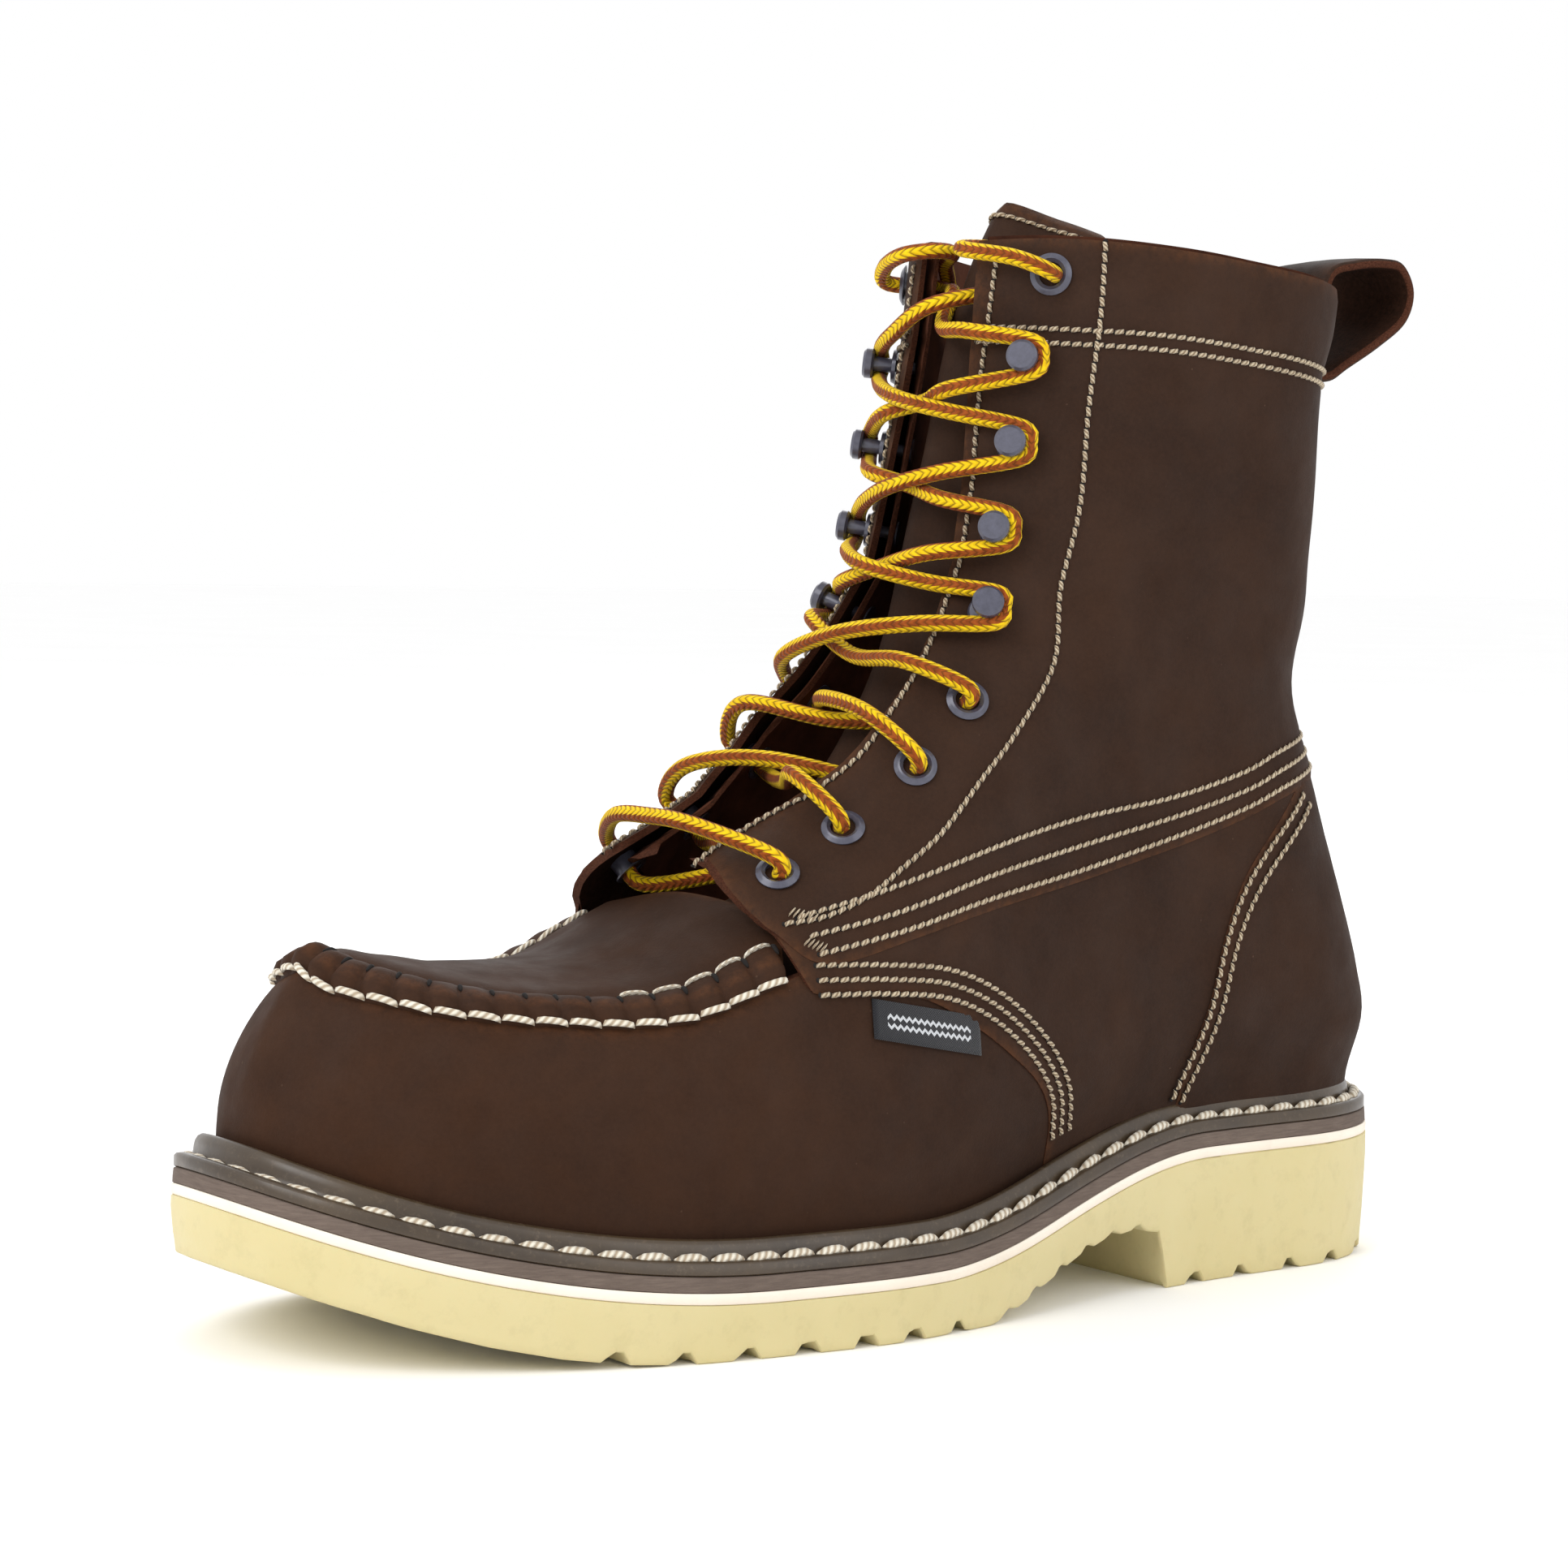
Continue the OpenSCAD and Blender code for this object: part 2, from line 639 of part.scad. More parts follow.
module eyelets(sign) {
    color(gunmetal)
        each_eyelet(sign)
            rotate_extrude($fn = 48)
                polygon([[eyelet_hole_r, -barrel_l], [barrel_r, -barrel_l], [barrel_r, 0.35],
                    [eyelet_r, 0.35], [eyelet_r, 0.6], [eyelet_r - 0.8, 1.15],
                    [eyelet_hole_r + 0.8, 1.35], [eyelet_hole_r, 0.8]]);
}
module eyelets_lateral() {
    eyelets(1);
}
module eyelets_medial() {
    eyelets(-1);
}
module eyelet_washers(sign) {
    color(gunmetal)
        each_eyelet(sign)
            translate([0, 0, -barrel_l])
                difference() {
                    cylinder(r = eyelet_r - 0.6, h = 0.4, $fn = 48);
                    translate([0, 0, -1]) cylinder(r = barrel_r + 0.02, h = 3, $fn = 48);
                }
}
module eyelet_washers_lateral() {
    eyelet_washers(1);
}
module eyelet_washers_medial() {
    eyelet_washers(-1);
}
module speed_hooks(sign) {
    color(gunmetal)
        each_hook(sign) {
            rotate_extrude($fn = 48)
                polygon([[0, -barrel_l], [1.4, -barrel_l], [1.4, 0.3], [hook_base_r, 0.3],
                    [hook_base_r - 0.4, 1.2], [1.7, 1.5], [1.7, 1.3 + hook_gap],
                    [hook_head_r - 0.5, 1.3 + hook_gap], [hook_head_r, 1.8 + hook_gap],
                    [hook_head_r, 3.2 + hook_gap], [hook_head_r - 0.6, 3.8 + hook_gap],
                    [0, 3.8 + hook_gap]]);
            translate([0, 0, -barrel_l - 0.4]) cylinder(r = 3, h = 0.4, $fn = 48);
        }
}
module speed_hooks_lateral() {
    speed_hooks(1);
}
module speed_hooks_medial() {
    speed_hooks(-1);
}

// Lace route, as [x, y, z]: from the lateral end down to the bottom bar and up to the medial end
LACE_TOP_LATERAL = [[27, 47.5, 229], [20, 41.5, 232], [11, 36.5, 233.5], [8.5, 29, 233.5],
    [14, 24.5, 232.5], [26, 28.5, 230.5], [32, 33.8, 227.5], [24.6, 41.9, 226.5], [19.5, 42, 225.5],
    [10.5, 36.5, 224]];
LACE_CROSSED = [
    [2, 23.5, 220.5], [-12, 23.5, 214.5],
    [-26.2, 31, 212], [-27.6, 32.5, 208.5], [-26.2, 30.5, 205],
    [-10, 20.5, 201.5], [2, 17.5, 199], [14, 20.5, 196.5],
    [30.2, 28.5, 193], [31.6, 29.5, 189.5], [30.2, 28, 186],
    [15, 18, 183], [2, 14, 180], [-12, 17.5, 177],
    [-25.7, 25, 174], [-27.1, 26, 170.5], [-26.2, 24, 167],
    [-13, 13, 165], [2, 7, 162], [18, 13, 158.5],
    [31.7, 21.5, 156.5], [33.1, 22, 153.5], [33.6, 19.2, 150],
    [22, 7, 149.5], [2, 0, 147], [-20.5, 1.5, 141.5],
    [-32.5, 10, 136], [-28.5, 12.5, 132], [-22, 13.5, 128.5],
    [2, -4, 132.5], [25, -9, 130.5],
    [38, -5, 122], [33.5, -1.5, 117.5], [28, 0, 113.5],
    [2, -17.5, 119], [-18.5, -25.5, 117],
    [-32, -23, 109], [-27, -19, 103.5], [-23, -18, 99],
    [2, -27, 100], [28, -34, 90], [33.5, -37, 95.5], [36, -39.5, 100.5], [18, -48.5, 106.5]];
LACE_BAR = [[2, -50, 107.5]];
lace_mirror = 2 * shaft_middle;
function mirrored(p) = [lace_mirror - p[0] + (p[2] < 125 ? 1.6 * (125 - p[2]) / 28 : 0)
    * sign(p[0] - shaft_middle), p[1], p[2]];
function lace_under(z) = z > 210 ? [0, 4, -4.5] : z > 150 ? [0, 5.4, 0] : [0, 4, -5];
function medial_half(p) = abs(p[0] - shaft_middle) < 1 ? p + lace_under(p[2]) : mirrored(p);
LACE = concat(LACE_TOP_LATERAL, LACE_CROSSED, LACE_BAR,
    [for (p = reversed(LACE_CROSSED)) medial_half(p)],
    [for (p = reversed(LACE_TOP_LATERAL)) mirrored(p)]);
LACE_END = [[27, 47.5, 229], [30.5, 52, 220], [31.5, 55, 208], [31.5, 56.5, 194], [31.5, 57, 180],
    [31.5, 57, 166], [31.5, 57, 152], [31.5, 57, 138], [31.5, 57, 124]];
aglet_l = 20;

// Round tube along a route
function path_tangent(path, i) =
    let (t = path[min(i + 1, len(path) - 1)] - path[max(i - 1, 0)])
    t / norm(t);
function turned(v, from, to) =
    let (axis = cross(from, to), c = from * to)
    v + cross(axis, v) + cross(axis, cross(axis, v)) / (1 + c);
function frames(path, i = 0, side = undef, out = []) =
    i == len(path) ? out :
    let (
        t = path_tangent(path, i),
        s0 = i == 0 ? cross(t, [0.3, 0.2, 0.9]) : turned(side, path_tangent(path, i - 1), t),
        s = s0 / norm(s0)
    )
    frames(path, i + 1, s, concat(out, [[path[i], s, cross(t, s)]]));
module tube(path, d, sides = 8) {
    loft([for (f = frames(path)) [for (k = [0:sides - 1])
        f[0] + d / 2 * (cos(360 * k / sides) * f[1] + sin(360 * k / sides) * f[2])]]);
}
module lace() {
    color("gold") tube(LACE, lace_d);
}
module lace_end_lateral() {
    color("gold") tube(LACE_END, lace_d);
}
module lace_end_medial() {
    color("gold") tube([for (p = LACE_END) mirrored(p)], lace_d);
}
module aglet() {
    p = last(LACE_END);
    translate(p - [0, 0, aglet_l]) cylinder(r = lace_d / 2 - 0.4, h = aglet_l, $fn = 32);
}
module aglet_lateral() {
    color("saddlebrown") aglet();
}
module aglet_medial() {
    color("saddlebrown") translate([lace_mirror, 0, 0]) mirror([1, 0, 0]) aglet();
}

// Woven tag hanging from the vamp seam
module label_tag() {
    color("black") one_mesh()
        intersection() {
            difference() {
                vamp_form(-1.2);
                vamp_form(-0.3);
            }
            side([[-25, 70.5], [-25, 63.5], [4, 58], [4, 62.8], [-12, 70.3]], 0, 90);
        }
}

outsole();
cream_layer();
midsole();
welt();
bottom_filler();
shank();
insole_board();
footbed();
toe_cap();
toe_cap_edge();
heel_counter();
vamp();
plug();
vamp_lining();
quarter_lateral();
quarter_medial();
shaft_lateral();
shaft_medial();
heel_cover();
backstay();
lining_lateral();
lining_medial();
collar_pad_lateral();
collar_pad_medial();
pull_loop();
tongue_leather();
tongue_foam();
tongue_lining();
eyelets_lateral();
eyelets_medial();
eyelet_washers_lateral();
eyelet_washers_medial();
speed_hooks_lateral();
speed_hooks_medial();
label_tag();
lace();
lace_end_lateral();
lace_end_medial();
aglet_lateral();
aglet_medial();
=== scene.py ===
"""Looks of a moc-toe steel toe work boot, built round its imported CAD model. Lengths are in millimetres
until a mesh is made, where MM turns them into metres."""
import math

import bmesh
import bpy
import numpy as np
from mathutils import Matrix, Vector
from mathutils.geometry import delaunay_2d_cdt


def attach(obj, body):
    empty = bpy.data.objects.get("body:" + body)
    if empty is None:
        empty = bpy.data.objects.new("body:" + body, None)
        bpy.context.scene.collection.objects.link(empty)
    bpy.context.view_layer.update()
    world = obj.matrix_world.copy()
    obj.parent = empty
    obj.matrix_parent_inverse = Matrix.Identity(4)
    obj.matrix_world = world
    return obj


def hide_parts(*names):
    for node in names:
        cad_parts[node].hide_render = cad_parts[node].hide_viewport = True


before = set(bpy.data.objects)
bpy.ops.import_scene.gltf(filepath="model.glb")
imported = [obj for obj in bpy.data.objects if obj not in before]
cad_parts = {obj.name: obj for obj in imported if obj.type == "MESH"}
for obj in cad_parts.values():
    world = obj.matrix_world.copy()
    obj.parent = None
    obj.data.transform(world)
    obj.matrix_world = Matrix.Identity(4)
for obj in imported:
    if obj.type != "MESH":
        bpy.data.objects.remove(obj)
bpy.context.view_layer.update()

MM = 0.001

# ---------------------------------------------------------------- camera and light

AZIMUTH, ELEVATION, CAMERA_ROLL = math.radians(54.5), math.radians(3.0), math.radians(1.0)
CAMERA_DISTANCE = 0.866
CAMERA_TARGET = Vector((0, 0, 0.120))


def make_camera():
    back = Vector((math.sin(AZIMUTH) * math.cos(ELEVATION), -math.cos(AZIMUTH) * math.cos(ELEVATION),
                   math.sin(ELEVATION)))
    level = Vector((math.cos(AZIMUTH), math.sin(AZIMUTH), 0))
    upright = back.cross(level)
    right = level * math.cos(CAMERA_ROLL) + upright * math.sin(CAMERA_ROLL)
    up = upright * math.cos(CAMERA_ROLL) - level * math.sin(CAMERA_ROLL)
    data = bpy.data.cameras.new("camera")
    data.sensor_width = 36
    data.lens = 89.07
    data.shift_x = -0.0300
    data.shift_y = -0.0197
    camera = bpy.data.objects.new("camera", data)
    bpy.context.scene.collection.objects.link(camera)
    camera.matrix_world = Matrix.Translation(CAMERA_TARGET + back * CAMERA_DISTANCE) @ Matrix(
        (right, up, back)).transposed().to_4x4()
    bpy.context.scene.camera = camera


def area_light(name, place, size, power, target=(0, 0, 0.1)):
    data = bpy.data.lights.new(name, "AREA")
    data.shape = "RECTANGLE"
    data.size, data.size_y = size
    data.energy = power
    light = bpy.data.objects.new(name, data)
    bpy.context.scene.collection.objects.link(light)
    light.location = place
    light.rotation_euler = (Vector(target) - Vector(place)).to_track_quat("-Z", "Y").to_euler()


def make_lights():
    world = bpy.data.worlds.new("studio")
    bpy.context.scene.world = world
    world.use_nodes = True
    sky = world.node_tree.nodes["Background"]
    sky.inputs["Color"].default_value = (1, 1, 1, 1)
    sky.inputs["Strength"].default_value = 1.0
    area_light("key", (0.35, -1.5, 1.25), (1.1, 1.1), 16)
    area_light("side", (1.6, 0.5, 0.9), (1.2, 1.4), 6)
    area_light("back", (-1.2, 0.9, 1.0), (1.2, 1.2), 8)
    bpy.context.scene.view_settings.view_transform = "Standard"


# ---------------------------------------------------------------- materials

def new_material(name):
    material = bpy.data.materials.new(name)
    material.use_nodes = True
    nodes = material.node_tree.nodes
    nodes.clear()
    return material, nodes, material.node_tree.links


class Shader:
    """A small helper for building node materials on object coordinates."""

    def __init__(self, name):
        self.material, self.nodes, self.links = new_material(name)
        self.out = self.nodes.new("ShaderNodeOutputMaterial")
        self.bsdf = self.nodes.new("ShaderNodeBsdfPrincipled")
        self.links.new(self.bsdf.outputs[0], self.out.inputs[0])
        self.place = self.nodes.new("ShaderNodeTexCoord").outputs["Object"]
        self.bumps = None

    def set(self, **values):
        names = {"rough": "Roughness", "metal": "Metallic", "sheen": "Sheen Weight", "coat": "Coat Weight",
                 "coat_rough": "Coat Roughness", "sheen_rough": "Sheen Roughness",
                 "spec": "Specular IOR Level", "subsurface": "Subsurface Weight", "sheen_tint": "Sheen Tint"}
        for key, value in values.items():
            self.bsdf.inputs[names[key]].default_value = value
        if "subsurface" in values:
            self.bsdf.inputs["Subsurface Scale"].default_value = 0.004
        return self

    def noise(self, size, detail=3, rough=0.55, stretch=(1, 1, 1), warp=0.0):
        mapping = self.nodes.new("ShaderNodeMapping")
        mapping.inputs["Scale"].default_value = [s / (size * MM) for s in stretch]
        self.links.new(self.place, mapping.inputs[0])
        texture = self.nodes.new("ShaderNodeTexNoise")
        texture.inputs["Scale"].default_value = 1
        texture.inputs["Detail"].default_value = detail
        texture.inputs["Roughness"].default_value = rough
        texture.inputs["Distortion"].default_value = warp
        self.links.new(mapping.outputs[0], texture.inputs["Vector"])
        return texture.outputs["Fac"]

    def cells(self, size, feature="F1"):
        texture = self.nodes.new("ShaderNodeTexVoronoi")
        texture.feature = feature
        texture.inputs["Scale"].default_value = 1 / (size * MM)
        self.links.new(self.place, texture.inputs["Vector"])
        return texture.outputs["Distance"]

    def span(self, value, low, high, to_low=0.0, to_high=1.0):
        node = self.nodes.new("ShaderNodeMapRange")
        node.inputs[1].default_value = low
        node.inputs[2].default_value = high
        node.inputs[3].default_value = to_low
        node.inputs[4].default_value = to_high
        self.links.new(value, node.inputs[0])
        return node.outputs[0]

    def math(self, operation, a, b=0.0):
        node = self.nodes.new("ShaderNodeMath")
        node.operation = operation
        for socket, value in zip(node.inputs, (a, b)):
            if isinstance(value, (int, float)):
                socket.default_value = value
            else:
                self.links.new(value, socket)
        return node.outputs[0]

    def mix(self, factor, a, b, blend="MIX"):
        node = self.nodes.new("ShaderNodeMix")
        node.data_type = "RGBA"
        node.blend_type = blend
        for socket, value in ((node.inputs[0], factor), (node.inputs[6], a), (node.inputs[7], b)):
            if isinstance(value, (int, float)):
                socket.default_value = value
            elif isinstance(value, tuple):
                socket.default_value = (*value, 1)
            else:
                self.links.new(value, socket)
        return node.outputs[2]

    def attribute(self, name):
        node = self.nodes.new("ShaderNodeAttribute")
        node.attribute_name = name
        return node.outputs["Fac"]

    def axis(self, k):
        node = self.nodes.new("ShaderNodeSeparateXYZ")
        self.links.new(self.place, node.inputs[0])
        return node.outputs[k]

    def uv(self):
        node = self.nodes.new("ShaderNodeTexCoord")
        split = self.nodes.new("ShaderNodeSeparateXYZ")
        self.links.new(node.outputs["UV"], split.inputs[0])
        return split.outputs[0], split.outputs[1]

    def bump(self, height, depth_mm, strength=1.0):
        node = self.nodes.new("ShaderNodeBump")
        node.inputs["Strength"].default_value = strength
        node.inputs["Distance"].default_value = depth_mm * MM
        self.links.new(height, node.inputs["Height"])
        if self.bumps:
            self.links.new(self.bumps, node.inputs["Normal"])
        self.bumps = node.outputs[0]
        return self

    def finish(self, colour, rough=None):
        if isinstance(colour, tuple):
            self.bsdf.inputs["Base Color"].default_value = (*colour, 1)
        else:
            self.links.new(colour, self.bsdf.inputs["Base Color"])
        if rough is not None:
            self.links.new(rough, self.bsdf.inputs["Roughness"])
        if self.bumps:
            self.links.new(self.bumps, self.bsdf.inputs["Normal"])
        return self.material


def srgb(r, g, b):
    """Linear colour from 0 to 255 display values."""
    return tuple((v / 255 / 12.92) if v < 10.3 else ((v / 255 + 0.055) / 1.055) ** 2.4 for v in (r, g, b))


def leather_material(name, dark, light, warm):
    """Waxed nubuck: cloudy mottling, warmer towards the toe, rubbed pale along worn edges, and fine pores."""
    s = Shader(name).set(sheen=0.0, spec=0.13)
    cloud = s.span(s.noise(34, 5, 0.6, warp=0.6), 0.32, 0.68)
    blotch = s.span(s.noise(9, 5, 0.65, warp=0.3), 0.35, 0.7)
    toe = s.span(s.axis(1), 0.06, -0.13)
    low = s.span(s.axis(2), 0.20, 0.04)
    warmth = s.math("MULTIPLY", s.math("MULTIPLY", toe, low), s.span(cloud, 0, 1, 0.45, 1))
    colour = s.mix(cloud, dark, light)
    colour = s.mix(warmth, colour, warm)
    colour = s.mix(s.math("MULTIPLY", blotch, 0.3), colour, tuple(v * 0.72 for v in dark))
    fine = s.noise(0.9, 4, 0.7)
    colour = s.mix(s.span(fine, 0.3, 0.75, 0, 0.22), colour, tuple(min(1, v * 1.7) for v in light))
    speck = s.span(s.cells(4.2), 0.03, 0.07, 0.35, 0)
    colour = s.mix(s.math("MULTIPLY", speck, s.span(blotch, 0.5, 1)), colour, srgb(140, 112, 92))
    rub = s.math("MULTIPLY", s.attribute("rub"), s.span(s.noise(2.2, 4, 0.7), 0.3, 0.62))
    colour = s.mix(rub, colour, tuple(min(1, v * 2.1) for v in warm))
    s.bump(s.noise(14, 3, 0.5), 0.5, 0.35)
    s.bump(s.noise(0.55, 5, 0.7), 0.16, 0.5)
    s.bump(s.cells(0.7), 0.06, 0.35)
    rough = s.span(s.noise(12, 4, 0.6), 0.3, 0.7, 0.62, 0.82)
    return s.finish(colour, rough)


def raw_edge_material():
    s = Shader("leather_raw_edge").set(spec=0.08)
    fibre = s.noise(0.6, 5, 0.75, stretch=(1, 1, 2.2))
    s.bump(fibre, 0.5, 0.9)
    s.bsdf.inputs["Roughness"].default_value = 0.9
    return s.finish(s.mix(s.span(fibre, 0.3, 0.7), srgb(44, 25, 18), srgb(104, 62, 44)))


def rough_side_material():
    s = Shader("leather_flesh_side").set(rough=0.95, spec=0.04)
    nap = s.noise(1.1, 6, 0.75, warp=0.4)
    s.bump(nap, 0.6, 0.8)
    colour = s.mix(s.span(nap, 0.3, 0.7), srgb(28, 18, 13), srgb(60, 38, 27))
    return s.finish(s.mix(s.span(s.noise(8, 4), 0.3, 0.7, 0, 0.5), colour, srgb(52, 33, 24)))


def lining_material(name, dark, light):
    s = Shader(name).set(rough=0.8, spec=0.12)
    s.bump(s.noise(0.8, 5, 0.7), 0.12, 0.5)
    s.bump(s.noise(9, 3), 0.5, 0.4)
    return s.finish(s.mix(s.span(s.noise(11, 5, 0.65), 0.3, 0.7), dark, light))


def thread_material(name, colour, shade, twist_mm):
    """Plied thread. The strands run across the stitch at a slant, along UV u, with v round it."""
    s = Shader(name).set(rough=0.7, spec=0.25, sheen=0.15)
    u, v = s.uv()
    slant = s.math("SINE", s.math("ADD", s.math("MULTIPLY", u, 2 * math.pi / twist_mm),
                                  s.math("MULTIPLY", v, 4 * math.pi)))
    s.bump(slant, 0.22, 0.7)
    # Darker in the grooves between the plies, on the same wave as the bump: painted shade. The dirt patches
    # below are real dirt in the same darker colour.
    tone = s.span(slant, -1, 0.4)
    colour = s.mix(tone, shade, colour)
    dirt = s.span(s.noise(7, 3), 0.35, 0.75, 0, 0.35)
    return s.finish(s.mix(dirt, colour, shade))


def lace_material():
    """Round braid with lengthwise yellow and rust stripes whose borders step like the braid's strands."""
    s = Shader("lace_braid").set(rough=0.75, spec=0.15, sheen=0.04, sheen_rough=0.5)
    u, v = s.uv()
    turn = s.math("ADD", s.math("MULTIPLY", v, 3), s.math("MULTIPLY", u, 0.0048))
    across = s.math("PINGPONG", s.math("MULTIPLY", turn, 2), 1)
    strand = s.math("FRACT", s.math("ADD", s.math("MULTIPLY", u, 1 / 1.9), s.math("MULTIPLY", across, 1.1)))
    rust = s.math("LESS_THAN", s.math("ADD", across, s.math("MULTIPLY", strand, 0.3)), 0.62)
    round_off = s.math("PINGPONG", s.math("MULTIPLY", strand, 2), 1)
    yellow = s.mix(s.span(s.noise(2, 3), 0.3, 0.7), srgb(222, 178, 8), srgb(240, 204, 22))
    brown = s.mix(s.span(s.noise(2, 3), 0.3, 0.7), srgb(120, 54, 14), srgb(158, 80, 26))
    colour = s.mix(rust, yellow, brown)
    # Darker at the borders of each strand, where the rounded strands dip: painted shade between the braid's
    # strands.
    colour = s.mix(s.span(round_off, 0.0, 0.45, 0.75, 0), colour, srgb(84, 46, 8))
    s.bump(s.span(round_off, 0, 0.8), 0.35, 0.9)
    return s.finish(colour)


def enamel_material(name, colour, rough=0.28):
    s = Shader(name).set(metal=0.25, coat=0.35, coat_rough=0.15, spec=0.5)
    worn = s.noise(1.5, 4, 0.7)
    s.bump(s.noise(2.5, 3), 0.05, 0.3)
    shade = s.mix(s.span(worn, 0.3, 0.75), tuple(v * 0.8 for v in colour), tuple(v * 1.2 for v in colour))
    return s.finish(shade, s.span(s.noise(3, 3), 0.3, 0.7, rough, rough + 0.14))


def rubber_material(name, colour, deep, rough, speck=0.0, glow=0.0):
    s = Shader(name).set(spec=0.35, subsurface=glow)
    cloud = s.span(s.noise(26, 4, 0.55), 0.3, 0.7)
    tone = s.mix(s.math("MULTIPLY", cloud, 0.6), colour, deep)
    grime = s.math("MULTIPLY", s.span(s.noise(5, 5, 0.7), 0.52, 0.8), speck)
    tone = s.mix(grime, tone, tuple(v * 0.6 for v in deep))
    s.bump(s.noise(0.8, 4, 0.6), 0.08, 0.5)
    s.bump(s.noise(6, 3), 0.25, 0.25)
    return s.finish(tone, s.span(s.noise(4, 3), 0.3, 0.7, rough, rough + 0.15))


def sanded_material():
    """Buffed layered edge of the midsole: fine streaks along the edge and dusty patches."""
    s = Shader("midsole_sanded").set(spec=0.25)
    streak = s.noise(5, 5, 0.7, stretch=(1, 1, 14))
    tone = s.mix(s.span(streak, 0.3, 0.7), srgb(92, 79, 72), srgb(116, 102, 92))
    tone = s.mix(s.span(s.noise(14, 4), 0.4, 0.75, 0, 0.4), tone, srgb(84, 72, 64))
    s.bump(streak, 0.18, 0.6)
    s.bump(s.noise(0.6, 3), 0.08, 0.5)
    s.bsdf.inputs["Roughness"].default_value = 0.78
    return s.finish(tone)


def welt_material():
    s = Shader("welt_gloss").set(coat=0.25, coat_rough=0.25, spec=0.45)
    tone = s.mix(s.span(s.noise(18, 4, 0.6), 0.3, 0.7), srgb(50, 38, 25), srgb(70, 55, 36))
    tone = s.mix(s.span(s.noise(1.2, 4, 0.7), 0.55, 0.8, 0, 0.3), tone, srgb(130, 112, 92))
    s.bump(s.noise(1.6, 4, 0.6), 0.08, 0.4)
    return s.finish(tone, s.span(s.noise(7, 4), 0.3, 0.7, 0.30, 0.48))


def woven_material():
    s = Shader("woven_tag").set(rough=0.7, spec=0.3, sheen=0.2)
    u, v = s.uv()
    weft = s.math("SINE", s.math("MULTIPLY", v, 2 * math.pi / 0.55))
    warp = s.math("SINE", s.math("MULTIPLY", u, 2 * math.pi / 0.5))
    weave = s.math("MULTIPLY", weft, warp)
    s.bump(weave, 0.12, 0.8)
    lattice = s.math("ADD", s.math("ABSOLUTE", s.math("SUBTRACT", s.math("PINGPONG", u, 1.6), 0.8)),
                     s.math("ABSOLUTE", s.math("SUBTRACT", v, 4.2)))
    ring = s.math("LESS_THAN", s.math("ABSOLUTE", s.math("SUBTRACT", lattice, 1.35)), 0.36)
    inner = s.math("MULTIPLY", s.math("GREATER_THAN", u, 3.2), s.math("LESS_THAN", u, 25.8))
    ring = s.math("MULTIPLY", ring, inner)
    # Darker where the weave dips, lighter on the raised yarn: painted shade in the weave's hollows.
    base = s.mix(s.span(weave, -1, 1), srgb(12, 12, 15), srgb(34, 35, 42))
    return s.finish(s.mix(ring, base, srgb(205, 208, 212)))


def plain_material(name, a, b, size, rough, bump, metal=0.0):
    s = Shader(name).set(metal=metal)
    s.bump(s.noise(size, 5, 0.65), bump, 0.7)
    return s.finish(s.mix(s.span(s.noise(size * 3, 5, 0.6), 0.3, 0.7), a, b),
                    s.span(s.noise(size * 2, 3), 0.3, 0.7, rough, min(1, rough + 0.15)))


make_camera()
make_lights()
LEATHER = leather_material("waxed_leather", srgb(40, 25, 17), srgb(54, 35, 24), srgb(58, 34, 18))
DARK_LEATHER = leather_material("waxed_leather_dark", srgb(30, 20, 15), srgb(44, 30, 22), srgb(54, 34, 22))
RAW = raw_edge_material()
FLESH = rough_side_material()
# Reddish lining leather: its own reddish hue, darkened overall as painted shade for where it lies in shade
# inside the shaft and under the flaps.
RED_LINING_SHADED = lining_material("lining_leather", srgb(66, 38, 27), srgb(98, 58, 41))
GREY_LINING = lining_material("lining_fabric", srgb(60, 56, 52), srgb(84, 78, 72))
FINE_THREAD = thread_material("thread_fine", srgb(206, 190, 162), srgb(120, 98, 74), 1.1)
HEAVY_THREAD = thread_material("thread_heavy", srgb(232, 225, 208), srgb(166, 148, 124), 1.7)
# Near-black colour of needle holes and seam slots: painted shade in these small recesses.
HOLE_SHADE = plain_material("needle_hole_shade", srgb(14, 9, 7), srgb(20, 13, 10), 1.0, 0.9, 0.05)
LACE_CLOTH = lace_material()
AGLET = enamel_material("aglet_plastic", srgb(120, 74, 40), 0.2)
ENAMEL = enamel_material("gunmetal_enamel", srgb(72, 72, 86))
YELLOW_RUBBER = rubber_material("pale_rubber", srgb(208, 195, 148), srgb(200, 186, 134), 0.5, 0.25, 0.06)
CREAM_RUBBER = rubber_material("cream_rubber", srgb(240, 230, 216), srgb(228, 214, 196), 0.55, 0.15)
BLACK_RUBBER = rubber_material("black_rubber", srgb(30, 30, 32), srgb(18, 18, 20), 0.5)
MIDSOLE = sanded_material()
WELT = welt_material()
TAG = woven_material()
FOAM = plain_material("padding_foam", srgb(120, 116, 110), srgb(96, 92, 88), 1.2, 0.85, 0.4)
CORK = plain_material("cork_filler", srgb(150, 112, 74), srgb(112, 78, 48), 2.0, 0.8, 0.4)
BOARD = plain_material("insole_board", srgb(176, 148, 112), srgb(150, 122, 88), 1.5, 0.8, 0.2)
COUNTER = plain_material("counter_board", srgb(204, 186, 156), srgb(182, 160, 128), 1.5, 0.7, 0.2)
STEEL = plain_material("bare_steel", srgb(176, 178, 182), srgb(150, 152, 158), 1.2, 0.32, 0.03, metal=1.0)
FOOTBED = plain_material("footbed_foam", srgb(38, 38, 42), srgb(58, 58, 64), 0.9, 0.9, 0.3)

# ---------------------------------------------------------------- forms, as in the CAD source

